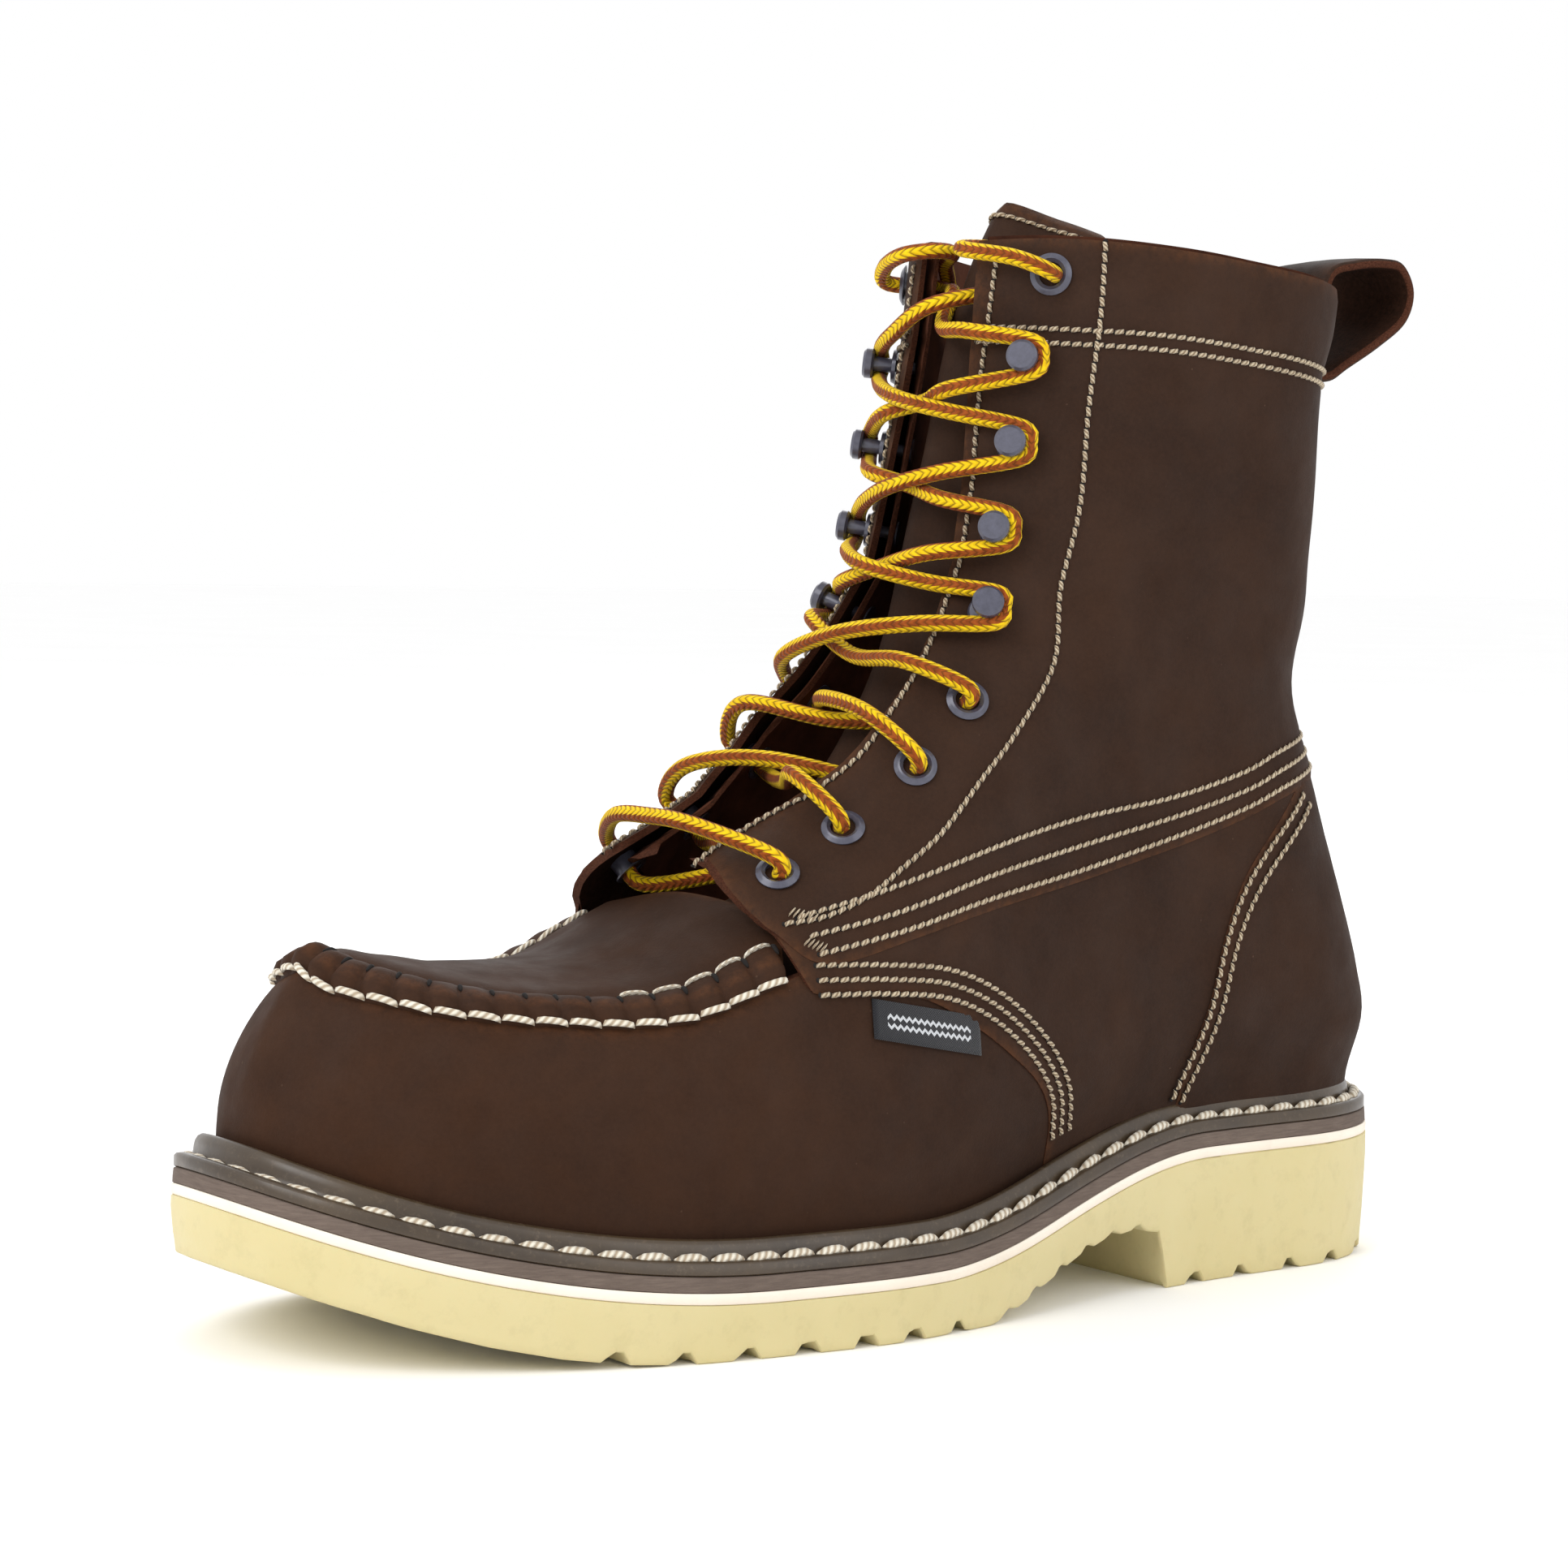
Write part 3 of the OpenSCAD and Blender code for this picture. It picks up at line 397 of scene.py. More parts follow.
SOLE_EDGE_FRONT, SOLE_EDGE_HEEL = 8.8, 6.2
HEEL_HEIGHT, BALL_HEIGHT, TOE_SPRING = 31, 14, 20
CREAM_T, MIDSOLE_T, WELT_T = 2.3, 3.3, 3.0
FOOT_TOE, FOOT_HEEL, TOE_ROUND, HEEL_ROUND = -144.5, 144, 82, 36
SHAFT_MIDDLE, VAMP_ROLL = 2, 20
HALF_WIDTH = [[-145, 46], [-85, 46], [-55, 46.5], [-25, 43.5], [5, 38], [35, 33.5], [70, 32],
              [110, 31.5], [146, 31]]
MIDDLE = [[-145, -4], [-110, -3], [-80, 1], [-50, 5], [-20, 9.5], [10, 9.5], [40, 6.5], [75, 3],
          [110, 1], [146, 1]]
WIDTHS = [
    [24, HALF_WIDTH],
    [45, [[-145, 46.5], [-85, 47], [-55, 48], [-25, 46.5], [5, 42.5], [35, 38], [70, 36],
          [110, 35.5], [146, 35]]],
    [70, [[-145, 43], [-85, 44], [-55, 45.5], [-25, 46], [5, 43], [35, 39], [70, 38],
          [110, 37.5], [146, 37]]],
    [82, [[-145, 41], [-85, 42], [-55, 44], [-25, 45.5], [5, 43], [35, 39], [70, 38],
          [110, 37.5], [146, 37]]],
    [140, [[-145, 36], [-85, 38], [-55, 42], [-25, 44], [5, 41], [35, 38], [70, 37],
           [110, 36.5], [146, 36]]],
    [235, [[-145, 40], [-55, 42], [-25, 44], [5, 44], [35, 44], [70, 44.5], [110, 44],
           [146, 43]]]]
HEEL_BACK = [[20, 144], [42, 144], [57, 146], [69, 142.5], [89, 135.5], [109, 128], [124, 122.5],
             [142, 120.5], [159, 123], [182, 124], [207, 124], [218, 126.5], [240, 128]]
TOE_FRONT = [[20, -144.5], [42, -144.5], [52, -143.8], [61, -141.5], [71, -137], [77, -133], [82, -127]]
VAMP_RIDGE = [[-144.5, 42], [-143.8, 52], [-141.5, 61], [-137, 71], [-133, 77], [-126, 80.5],
              [-110, 79.5], [-96, 77.5], [-68, 78], [-50, 86], [-31, 94.5], [-10, 107], [40, 125]]
FLAP_RIDGE = [[84, -84], [94, -62], [102, -47], [106, -39], [113, -27], [122, -18], [132, -11],
              [142, -1], [152, 7], [165, 16], [180, 19.5], [197, 23], [215, 26], [240, 29]]
FLAP_ROLL = [[100, 32], [120, 40], [150, 50]]
FLAP_GAP = [[90, 18], [104, 15.5], [110, 17], [117, 21], [126, 23], [137, 21.5], [149, 19],
            [165, 15.6], [180, 14.5], [197, 12.5], [215, 11], [245, 10.5]]
COLLAR = [[20, 234.5], [39, 235], [62, 233], [81, 231], [101, 229], [120, 227], [140, 226]]
PLUG_PLAN = [[46.5, -44], [44.5, -58], [41.5, -70], [38.5, -82], [34.4, -95], [30, -108],
             [24.5, -118], [15.5, -127], [6, -131], [-8, -130.5], [-20, -126], [-29, -117.5], [-34, -106],
             [-37, -92], [-37.3, -76], [-36.8, -62], [-37.5, -44]]
SKIN_OUT, SKIN_IN = -0.9, 1.1


def cubic(keys, key, value):
    """Smooth interpolation at key. value(j) gives the values at entries j of keys."""
    last = len(keys) - 1
    k = np.clip(np.asarray(key, float), keys[0], keys[-1])
    i = np.clip(np.searchsorted(keys, k, side="right") - 1, 0, last - 1)

    def slope(j):
        a, b = np.maximum(j - 1, 0), np.minimum(j + 1, last)
        return (value(b) - value(a)) / (keys[b] - keys[a])

    h = keys[i + 1] - keys[i]
    t = (k - keys[i]) / h
    return ((2 * t**3 - 3 * t**2 + 1) * value(i) + (t**3 - 2 * t**2 + t) * h * slope(i)
            + (3 * t**2 - 2 * t**3) * value(i + 1) + (t**3 - t**2) * h * slope(i + 1))


def curve(table, key):
    """Smooth curve through a list of [key, value], for numbers or arrays."""
    table = np.array(table, float)
    return cubic(table[:, 0], key, lambda j: table[:, 1][j])


def ease(t):
    t = np.clip(t, 0, 1)
    return t * t * (3 - 2 * t)


def sole_z(y):
    s = 154 - np.asarray(y, float)
    return (HEEL_HEIGHT + (BALL_HEIGHT - HEEL_HEIGHT) * ease((s - 75) / 90)
            + TOE_SPRING * np.clip((s - 205) / 103, 0, 1.05) ** 2.1)


def rounding(t, power):
    return np.maximum(0, 1 - np.clip(t, 0, 1) ** power) ** (1 / power)


def half_width(y, z):
    y, z = np.broadcast_arrays(np.asarray(y, float), np.asarray(z, float))
    lift = sole_z(y) - 14
    level = z - lift * (1 - ease((z - sole_z(y) - 10) / 35))
    rows = np.stack([curve(row[1], y) for row in WIDTHS])
    levels = np.array([row[0] for row in WIDTHS], float)
    return cubic(levels, level, lambda j: np.take_along_axis(rows, j[None], 0)[0])


def middle(y, z):
    u = ease((np.asarray(z, float) - 30) / 90)
    return curve(MIDDLE, y) * (1 - u) + SHAFT_MIDDLE * u


def polyline_distance(points, line):
    """Distance of 2D points from a polyline."""
    points, line = np.asarray(points, float), np.asarray(line, float)
    best = np.full(len(points), 1e9)
    for a, b in zip(line[:-1], line[1:]):
        ab = b - a
        t = np.clip(((points - a) @ ab) / max(1e-9, ab @ ab), 0, 1)
        best = np.minimum(best, np.linalg.norm(points - a - t[:, None] * ab, axis=1))
    return best


def shaft_half(y, z, d):
    y, z, d = np.broadcast_arrays(np.asarray(y, float), np.asarray(z, float), np.asarray(d, float))
    back = rounding((y - curve(HEEL_BACK, z) + HEEL_ROUND) / (HEEL_ROUND - d), 2.2)
    ridge = polyline_distance(np.column_stack([z.ravel(), y.ravel()]), FLAP_RIDGE).reshape(y.shape)
    ridge = np.where((z > 84) & (y < curve(FLAP_RIDGE, z)), -ridge, ridge)
    a = np.clip(1 - (ridge - d) / (curve(FLAP_ROLL, z) - d), 0, 1)
    return np.maximum(0.4, (half_width(y, z) - d) * back * np.sqrt(1 - a * a))


def vamp_half(y, z, d):
    front = rounding((curve(TOE_FRONT, z) + TOE_ROUND - y) / (TOE_ROUND - d), 2.25)
    top = rounding(1 - (curve(VAMP_RIDGE, y) - d - z) / (VAMP_ROLL - d / 2), 2.2)
    return np.maximum(0.3, (half_width(y, z) - d) * front * top)


def cast(half, origin_y, z, d, direction, reach=90):
    """Points where level rays from the middle line leave a form. direction is (x, y), one row per point."""
    low, high = np.zeros(len(z)), np.full(len(z), float(reach))
    start = middle(origin_y, z)
    for _ in range(24):
        r = (low + high) / 2
        y = origin_y + r * direction[:, 1]
        width = half(y, z, d)
        inside = (np.abs(start + r * direction[:, 0] - middle(y, z)) < width) & (width > 0.45)
        low, high = np.where(inside, r, low), np.where(inside, high, r)
    return np.column_stack([start + low * direction[:, 0], origin_y + low * direction[:, 1], z])


# ---------------------------------------------------------------- flat charts of the two forms
# A chart point is (u, z): u runs level round the boot, in millimetres.

def shaft_chart(u, z, d, sign):
    """u is y along the side, and then the arc round the heel from the start of its rounding."""
    turn_y = curve(HEEL_BACK, z) - HEEL_ROUND
    angle = np.clip((u - turn_y) / HEEL_ROUND, 0, math.pi / 2)
    direction = np.column_stack([sign * np.cos(angle), np.sin(angle)])
    y0 = np.minimum(u, turn_y)
    front = (z > 99) & (u < 60)
    if front.any():
        y0 = np.array(y0, float)
        y0[front] = np.maximum(y0[front], flap_front_y(z[front], d[front]))
    flat = np.column_stack([middle(y0, z) + sign * shaft_half(y0, z, d), y0, z])
    around = cast(shaft_half, turn_y, z, d, direction)
    return np.where((u <= turn_y)[:, None], flat, around)


def shaft_u(y, z):
    """Chart place of a side-view point on the shaft's skin."""
    y, z = np.asarray(y, float), np.asarray(z, float)
    turn_y = curve(HEEL_BACK, z) - HEEL_ROUND
    angle = np.arctan2(y - turn_y, shaft_half(y, z, SKIN_OUT))
    u = np.where(y <= turn_y, y, turn_y + HEEL_ROUND * np.clip(angle, 0, math.pi / 2))
    return np.column_stack([u, z])


def heel_middle_u(z):
    return curve(HEEL_BACK, z) - HEEL_ROUND + HEEL_ROUND * math.pi / 2


TOE_TURN_Y, TOE_ARC = -75.0, 60.0
TOE_QUARTER = TOE_ARC * math.pi / 2


def vamp_chart(u, z, d, sign=0):
    """u is 0 at the middle of the toe and grows round the outer side; past the arc it follows y."""
    side = np.sign(u)
    side[side == 0] = 1
    angle = np.clip(np.abs(u) / TOE_ARC, 0, math.pi / 2)
    direction = np.column_stack([side * np.sin(angle), -np.cos(angle)])
    y0 = np.maximum(TOE_TURN_Y, TOE_TURN_Y + np.abs(u) - TOE_QUARTER)
    flat = np.column_stack([middle(y0, z) + side * vamp_half(y0, z, d), y0, z])
    around = cast(vamp_half, np.full(len(z), TOE_TURN_Y), z, d, direction)
    return np.where((np.abs(u) > TOE_QUARTER)[:, None], flat, around)


def plug_height(x, y, d):
    """Height of the toe's top at a plan point."""
    z = curve(VAMP_RIDGE, y) - d
    for _ in range(14):
        front = rounding((curve(TOE_FRONT, z) + TOE_ROUND - y) / (TOE_ROUND - d), 2.25)
        t = np.abs(x - middle(y, z)) / np.maximum(5, (half_width(y, z) - d) * front)
        z = 0.5 * z + 0.5 * (curve(VAMP_RIDGE, y) - d - (VAMP_ROLL - d / 2) * (1 - rounding(t, 2.2)))
    return z


def flap_front_y(z, d):
    """Side-view y of the flap's front edge at height z, on the layer at depth d."""
    z = np.atleast_1d(np.asarray(z, float))
    gap = curve(FLAP_GAP, z)
    low = curve(FLAP_RIDGE, z) - 3
    high = low + 40
    for _ in range(22):
        y = (low + high) / 2
        wide = shaft_half(y, z, d) > gap
        low, high = np.where(wide, low, y), np.where(wide, y, high)
    return (low + high) / 2


# ---------------------------------------------------------------- mesh tools

def object_from(name, vertices, faces, materials, slots=None, uv=None, rub=None, smooth=True, fix=True):
    mesh = bpy.data.meshes.new(name)
    mesh.from_pydata([tuple(v) for v in np.asarray(vertices) * MM], [], faces)
    for material in materials:
        mesh.materials.append(material)
    if slots is not None:
        mesh.polygons.foreach_set("material_index", np.asarray(slots, np.int32))
    if smooth:
        mesh.polygons.foreach_set("use_smooth", np.ones(len(mesh.polygons), bool))
    if rub is not None:
        mesh.attributes.new("rub", "FLOAT", "POINT").data.foreach_set("value", np.asarray(rub, np.float32))
    if uv is not None:
        layer = mesh.uv_layers.new(name="UVMap")
        index = np.empty(len(mesh.loops), np.int32)
        mesh.loops.foreach_get("vertex_index", index)
        layer.data.foreach_set("uv", np.asarray(uv, np.float32)[index].ravel())
    if fix:
        work = bmesh.new()
        work.from_mesh(mesh)
        bmesh.ops.recalc_face_normals(work, faces=work.faces)
        work.to_mesh(mesh)
        work.free()
    mesh.update()
    thing = bpy.data.objects.new(name, mesh)
    bpy.context.scene.collection.objects.link(thing)
    return thing


def settle(thing, body="boot", replaces=()):
    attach(thing, body)
    if replaces:
        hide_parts(*replaces)
    return thing


def running_length(line):
    return np.concatenate([[0], np.cumsum(np.linalg.norm(np.diff(line, axis=0), axis=1))])


def resample(line, step, closed=False):
    line = np.asarray(line, float)
    if closed:
        line = np.vstack([line, line[:1]])
    length = running_length(line)
    count = max(2, int(round(length[-1] / step)) + 1)
    at = np.linspace(0, length[-1], count)
    if closed:
        at = at[:-1]
    return np.column_stack([np.interp(at, length, line[:, k]) for k in range(line.shape[1])])


def smooth_line(points, step):
    """Catmull-Rom curve through points, resampled at a step."""
    p = np.asarray(points, float)
    q = np.vstack([2 * p[0] - p[1], p, 2 * p[-1] - p[-2]])
    out = []
    for a, b, c, e in zip(q[:-3], q[1:-2], q[2:-1], q[3:]):
        t = np.linspace(0, 1, 12, endpoint=False)[:, None]
        out.append(0.5 * (2 * b + (c - a) * t + (2 * a - 5 * b + 4 * c - e) * t**2
                          + (3 * b - a - 3 * c + e) * t**3))
    return resample(np.vstack([*out, p[-1:]]), step)


def inside_polygon(points, polygon):
    x, y = points[:, 0], points[:, 1]
    inside = np.zeros(len(points), bool)
    for a, b in zip(polygon, np.roll(polygon, -1, axis=0)):
        crosses = (a[1] > y) != (b[1] > y)
        with np.errstate(divide="ignore", invalid="ignore"):
            inside ^= crosses & (x < (b[0] - a[0]) * (y - a[1]) / (b[1] - a[1]) + a[0])
    return inside


def triangulate(outline, step, fine_lines=(), fine_step=1.2, reach=7):
    """Triangles of a flat region, finer near some lines. The outline's points come first."""
    outline = np.asarray(outline, float)
    low, high = outline.min(0), outline.max(0)
    ratio = max(1, round(step / fine_step)) if len(fine_lines) else 1
    pitch = step / ratio
    rows = []
    for j, v in enumerate(np.arange(low[1], high[1], pitch * 0.866)):
        u = np.arange(low[0] + (j % 2) * pitch / 2, high[0], pitch)
        coarse = (np.arange(len(u)) % ratio == 0) & (j % ratio == 0)
        rows.append(np.column_stack([u, np.full(len(u), v), coarse]))
    grid = np.vstack(rows)
    keep = grid[:, 2] > 0
    if len(fine_lines):
        near = np.min([polyline_distance(grid[:, :2], line) for line in fine_lines], axis=0) < reach
        keep |= near
    grid = grid[keep, :2]
    grid = grid[inside_polygon(grid, outline)]
    closed = np.vstack([outline, outline[:1]])
    grid = grid[polyline_distance(grid, closed) > 0.45 * pitch]
    points = [Vector(p) for p in np.vstack([outline, grid])]
    result = delaunay_2d_cdt(points, [], [list(range(len(outline)))], 1, 1e-6)
    vertices = np.array([tuple(v) for v in result[0]])
    faces = [tuple(f) for f in result[2] if len(f) == 3]
    boundary = np.empty(len(outline), int)
    for new, olds in enumerate(result[3]):
        for old in olds:
            if old < len(outline):
                boundary[old] = new
    return vertices, faces, boundary


def panel(name, outline, chart, sign, outer, inner, materials, step=2.4, fine_lines=(), bend=None, rub=None,
          edge=0.5):
    """A closed sheet of leather between two depths of a form, with softened edges and a raw cut edge."""
    flat, faces, rim = triangulate(outline, step, fine_lines)
    back_flat, back_faces, back_rim = triangulate(outline, 5.0)
    closed = np.vstack([outline, outline[:1]])
    rim_distance = polyline_distance(flat, closed)
    depth = outer + edge * (1 - np.clip(rim_distance / 1.1, 0, 1)) ** 2
    if bend is not None:
        depth = depth + bend(flat[:, 0], flat[:, 1])
    front = chart(flat[:, 0], flat[:, 1], depth, sign)
    back = chart(back_flat[:, 0], back_flat[:, 1], np.full(len(back_flat), float(inner)), sign)
    n = len(front)
    all_faces = faces + [tuple(n + i for i in reversed(f)) for f in back_faces]
    slots = [0] * len(faces) + [2] * len(back_faces)
    count = len(outline)
    for k in range(count):
        a, b = rim[k], rim[(k + 1) % count]
        c, e = n + back_rim[k], n + back_rim[(k + 1) % count]
        all_faces.append((a, c, e, b))
        slots.append(1)
    worn = 0.75 * np.exp(-rim_distance / 1.3)
    if rub is not None:
        worn = np.maximum(worn, rub(flat[:, 0], flat[:, 1]))
    thing = object_from(name, np.vstack([front, back]), all_faces, materials, slots,
                        rub=np.concatenate([worn, np.zeros(len(back))]))
    mesh = thing.data
    sharp = [tuple(sorted((int(rim[k]), int(rim[(k + 1) % count])))) for k in range(count)]
    sharp += [tuple(sorted((int(n + back_rim[k]), int(n + back_rim[(k + 1) % count])))) for k in range(count)]
    sharp = set(sharp)
    flags = [tuple(sorted(e.vertices)) in sharp for e in mesh.edges]
    mesh.attributes.new("sharp_edge", "BOOLEAN", "EDGE").data.foreach_set("value", flags)
    return thing


def band_faces(n, m, closed=False):
    """Faces between n rings of m points each."""
    return [(i * m + k, (i + 1) % n * m + k, (i + 1) % n * m + (k + 1) % m, i * m + (k + 1) % m)
            for i in range(n if closed else n - 1) for k in range(m)]


def end_faces(n, m):
    """The two faces that close n open rings of m points each."""
    return [tuple(range(m)), tuple((n - 1) * m + k for k in reversed(range(m)))]


def frames_along(line):
    """Two cross directions at each point of a 3D line, turning as little as possible."""
    tangent = np.gradient(line, axis=0)
    tangent /= np.linalg.norm(tangent, axis=1)[:, None]
    side = np.cross(tangent[0], [0.3, 0.2, 0.9])
    sides = []
    for t in tangent:
        side = side - t * (side @ t)
        side /= np.linalg.norm(side)
        sides.append(side)
    sides = np.array(sides)
    return sides, np.cross(tangent, sides)


def tube(line, radius, sides=16):
    """Vertices, faces and UVs of a round tube. u is the length along it and v goes once round it."""
    line = np.asarray(line, float)
    a, b = frames_along(line)
    length = running_length(line)
    radius = np.broadcast_to(radius, len(line))
    vertices, uv = [], []
    for i, p in enumerate(line):
        for k in range(sides + 1):
            angle = 2 * math.pi * k / sides
            vertices.append(p + radius[i] * (math.cos(angle) * a[i] + math.sin(angle) * b[i]))
            uv.append((length[i], k / sides))
    row = sides + 1
    faces = [(i * row + k, (i + 1) * row + k, (i + 1) * row + k + 1, i * row + k + 1)
             for i in range(len(line) - 1) for k in range(sides)]
    return np.array(vertices), faces, np.array(uv)


def weld(thing, distance=0.0001):
    work = bmesh.new()
    work.from_mesh(thing.data)
    bmesh.ops.remove_doubles(work, verts=work.verts, dist=distance * MM)
    open_edges = [e for e in work.edges if e.is_boundary]
    if open_edges:
        bmesh.ops.holes_fill(work, edges=open_edges)
    bmesh.ops.recalc_face_normals(work, faces=work.faces)
    work.to_mesh(thing.data)
    work.free()
    thing.data.polygons.foreach_set("use_smooth", np.ones(len(thing.data.polygons), bool))


def tube_object(name, line, radius, material, sides=16):
    vertices, faces, uv = tube(line, radius, sides)
    thing = object_from(name, vertices, faces, [material], uv=uv, fix=False)
    weld(thing)
    return thing


# ---------------------------------------------------------------- stitches

STITCH_RINGS = [(-0.5, -0.45, 0.6), (-0.44, 0.05, 0.9), (-0.25, 0.42, 1.0), (0.0, 0.5, 1.0),
                (0.25, 0.42, 1.0), (0.44, 0.05, 0.9), (0.5, -0.45, 0.6)]


def stitches(name, line, normals, pitch, thick, material, gap=0.18, holes=True, slant=0.0, lift=0.0, sides=6,
             body="boot"):
    """One row of stitches along a 3D line. Each dips into its needle holes, shallow dents coloured near-black
    as painted shade.
    """
    line, normals = np.asarray(line, float), np.asarray(normals, float)
    length = running_length(line)
    count = max(1, int(round(length[-1] / pitch)))
    real = length[-1] / count

    def at(s):
        p = np.array([np.interp(s, length, line[:, k]) for k in range(3)])
        q = np.array([np.interp(s, length, normals[:, k]) for k in range(3)])
        return p, q / np.linalg.norm(q)

    vertices, faces, uv, slots = [], [], [], []
    for i in range(count):
        middle_s = (i + 0.5) * real
        base = len(vertices)
        reach = real * (1 - gap)
        points = []
        for t, up, width in STITCH_RINGS:
            p, normal = at(middle_s + t * reach)
            ahead, _ = at(min(length[-1], middle_s + t * reach + 0.2))
            behind, _ = at(max(0, middle_s + t * reach - 0.2))
            along = (ahead - behind) / np.linalg.norm(ahead - behind)
            across = np.cross(normal, along)
            centre = p + normal * (up * thick + lift) + across * slant * t * 2
            points.append((centre, normal, across, width))
        for j, (centre, normal, across, width) in enumerate(points):
            for k in range(sides):
                angle = 2 * math.pi * k / sides
                vertices.append(centre + thick * 0.5 * width * (math.cos(angle) * across * 1.1
                                                               + math.sin(angle) * normal * 0.9))
                uv.append((STITCH_RINGS[j][0] * reach + 50, k / sides))
        rings = len(STITCH_RINGS)
        for j in range(rings - 1):
            for k in range(sides):
                a, b = base + j * sides + k, base + j * sides + (k + 1) % sides
                faces.append((a, b, b + sides, a + sides))
                slots.append(0)
        faces.append(tuple(base + k for k in reversed(range(sides))))
        faces.append(tuple(base + (rings - 1) * sides + k for k in range(sides)))
        slots += [0, 0]
    # Needle holes: shallow dents coloured near-black, painted shade inside each hole.
    if holes:
        for i in range(count + 1):
            p, normal = at(i * real)
            p2, _ = at(min(length[-1], i * real + 0.3))
            p1, _ = at(max(0, i * real - 0.3))
            along = (p2 - p1) / np.linalg.norm(p2 - p1)
            across = np.cross(normal, along)
            base = len(vertices)
            size = thick * 0.62
            for k in range(8):
                angle = 2 * math.pi * k / 8
                vertices.append(p + normal * 0.03 + size * (0.8 * math.cos(angle) * along
                                                            + math.sin(angle) * across))
                uv.append((0, 0))
            vertices.append(p - normal * 0.5)
            uv.append((0, 0))
            for k in range(8):
                faces.append((base + k, base + (k + 1) % 8, base + 8))
                slots.append(1)
            faces.append(tuple(base + k for k in range(8)))
            slots.append(1)
    thing = object_from(name, vertices, faces, [material, HOLE_SHADE], slots, uv=uv)
    return settle(thing, body)


FINE_PITCH, FLAP_PITCH = 2.45, 2.5
FINE_THICK, FINE_GAP, FINE_SLANT = 0.95, 0.1, 0.22


def fine_seam(name, line, normals, pitch=FINE_PITCH, body="boot"):
    """A row of the upper's ordinary seam thread."""
    stitches(name, line, normals, pitch, FINE_THICK, FINE_THREAD, gap=FINE_GAP, slant=FINE_SLANT, body=body)


def chart_line(chart, flat, sign, depth):
    e = 0.6
    u, z = flat[:, 0], flat[:, 1]
    d = np.full(len(u), float(depth)) if np.isscalar(depth) else depth
    points = chart(u, z, d, sign)
    du = chart(u + e, z, d, sign) - chart(u - e, z, d, sign)
    dz = chart(u, z + e, d, sign) - chart(u, z - e, d, sign)
    normals = np.cross(du, dz)
    normals /= np.linalg.norm(normals, axis=1)[:, None]
    outward = points - np.column_stack([middle(points[:, 1], z), np.minimum(points[:, 1], 100), z])
    flip = np.sign(np.sum(normals * outward, axis=1))
    return points, normals * flip[:, None]


# ---------------------------------------------------------------- lace, route as in the CAD source

LACE_D = 3.7
LACE_TOP_LATERAL = [[27, 47.5, 229], [20, 41.5, 232], [11, 36.5, 233.5], [8.5, 29, 233.5],
                    [14, 24.5, 232.5], [26, 28.5, 230.5], [32, 33.8, 227.5], [24.6, 41.9, 226.5],
                    [19.5, 42, 225.5], [10.5, 36.5, 224]]
LACE_CROSSED = [
    [2, 23.5, 220.5], [-12, 23.5, 214.5],
    [-26.2, 31, 212], [-27.6, 32.5, 208.5], [-26.2, 30.5, 205],
    [-10, 20.5, 201.5], [2, 17.5, 199], [14, 20.5, 196.5],
    [30.2, 28.5, 193], [31.6, 29.5, 189.5], [30.2, 28, 186],
    [15, 18, 183], [2, 14, 180], [-12, 17.5, 177],
    [-25.7, 25, 174], [-27.1, 26, 170.5], [-26.2, 24, 167],
    [-13, 13, 165], [2, 7, 162], [18, 13, 158.5],
    [31.7, 21.5, 156.5], [33.1, 22, 153.5], [33.6, 19.2, 150],
    [22, 7, 149.5], [2, 0, 147], [-20.5, 1.5, 141.5],
    [-32.5, 10, 136], [-28.5, 12.5, 132], [-22, 13.5, 128.5],
    [2, -4, 132.5], [25, -9, 130.5],
    [38, -5, 122], [33.5, -1.5, 117.5], [28, 0, 113.5],
    [2, -17.5, 119], [-18.5, -25.5, 117],
    [-32, -23, 109], [-27, -19, 103.5], [-23, -18, 99],
    [2, -27, 100], [28, -34, 90], [33.5, -37, 95.5], [36, -39.5, 100.5], [18, -48.5, 106.5]]
LACE_BAR = [[2, -50, 107.5]]
LACE_END = [[27, 47.5, 229], [30.5, 52, 220], [31.5, 55, 208], [31.5, 56.5, 194], [31.5, 57, 180],
            [31.5, 57, 166], [31.5, 57, 152], [31.5, 57, 138], [31.5, 57, 124]]
AGLET_L = 20


def mirrored(p):
    low = 1.6 * (125 - p[2]) / 28 if p[2] < 125 else 0
    return [2 * SHAFT_MIDDLE - p[0] + low * np.sign(p[0] - SHAFT_MIDDLE), p[1], p[2]]


def medial_half(p):
    if abs(p[0] - SHAFT_MIDDLE) >= 1:
        return mirrored(p)
    under = (4, -4.5) if p[2] > 210 else (5.4, 0) if p[2] > 150 else (4, -5)
    return [p[0], p[1] + under[0], p[2] + under[1]]


def make_lace():
    route = (LACE_TOP_LATERAL + LACE_CROSSED + LACE_BAR + [medial_half(p) for p in LACE_CROSSED[::-1]]
             + [mirrored(p) for p in LACE_TOP_LATERAL[::-1]])
    lace = tube_object("lace_laced", smooth_line(route, 1.1), LACE_D / 2, LACE_CLOTH)
    settle(lace, replaces=["lace"])
    for word, turn in (("lateral", list), ("medial", mirrored)):
        points = smooth_line([turn(p) for p in LACE_END], 1.5)
        end = tube_object("lace_free_" + word, points, LACE_D / 2, LACE_CLOTH)
        settle(end, replaces=["lace_end_" + word])
        tip = np.array(turn(LACE_END[-1]))
        profile = [(1.5, 0), (1.55, 1), (1.45, 3), (1.42, AGLET_L - 3), (1.5, AGLET_L - 0.8), (1.2, AGLET_L)]
        line = np.array([tip - [0, 0, h] for _, h in profile])
        aglet = tube_object("lace_tip_" + word, line, [r for r, _ in profile], AGLET)
        settle(aglet, replaces=["aglet_" + word])


make_lace()

# ---------------------------------------------------------------- sole

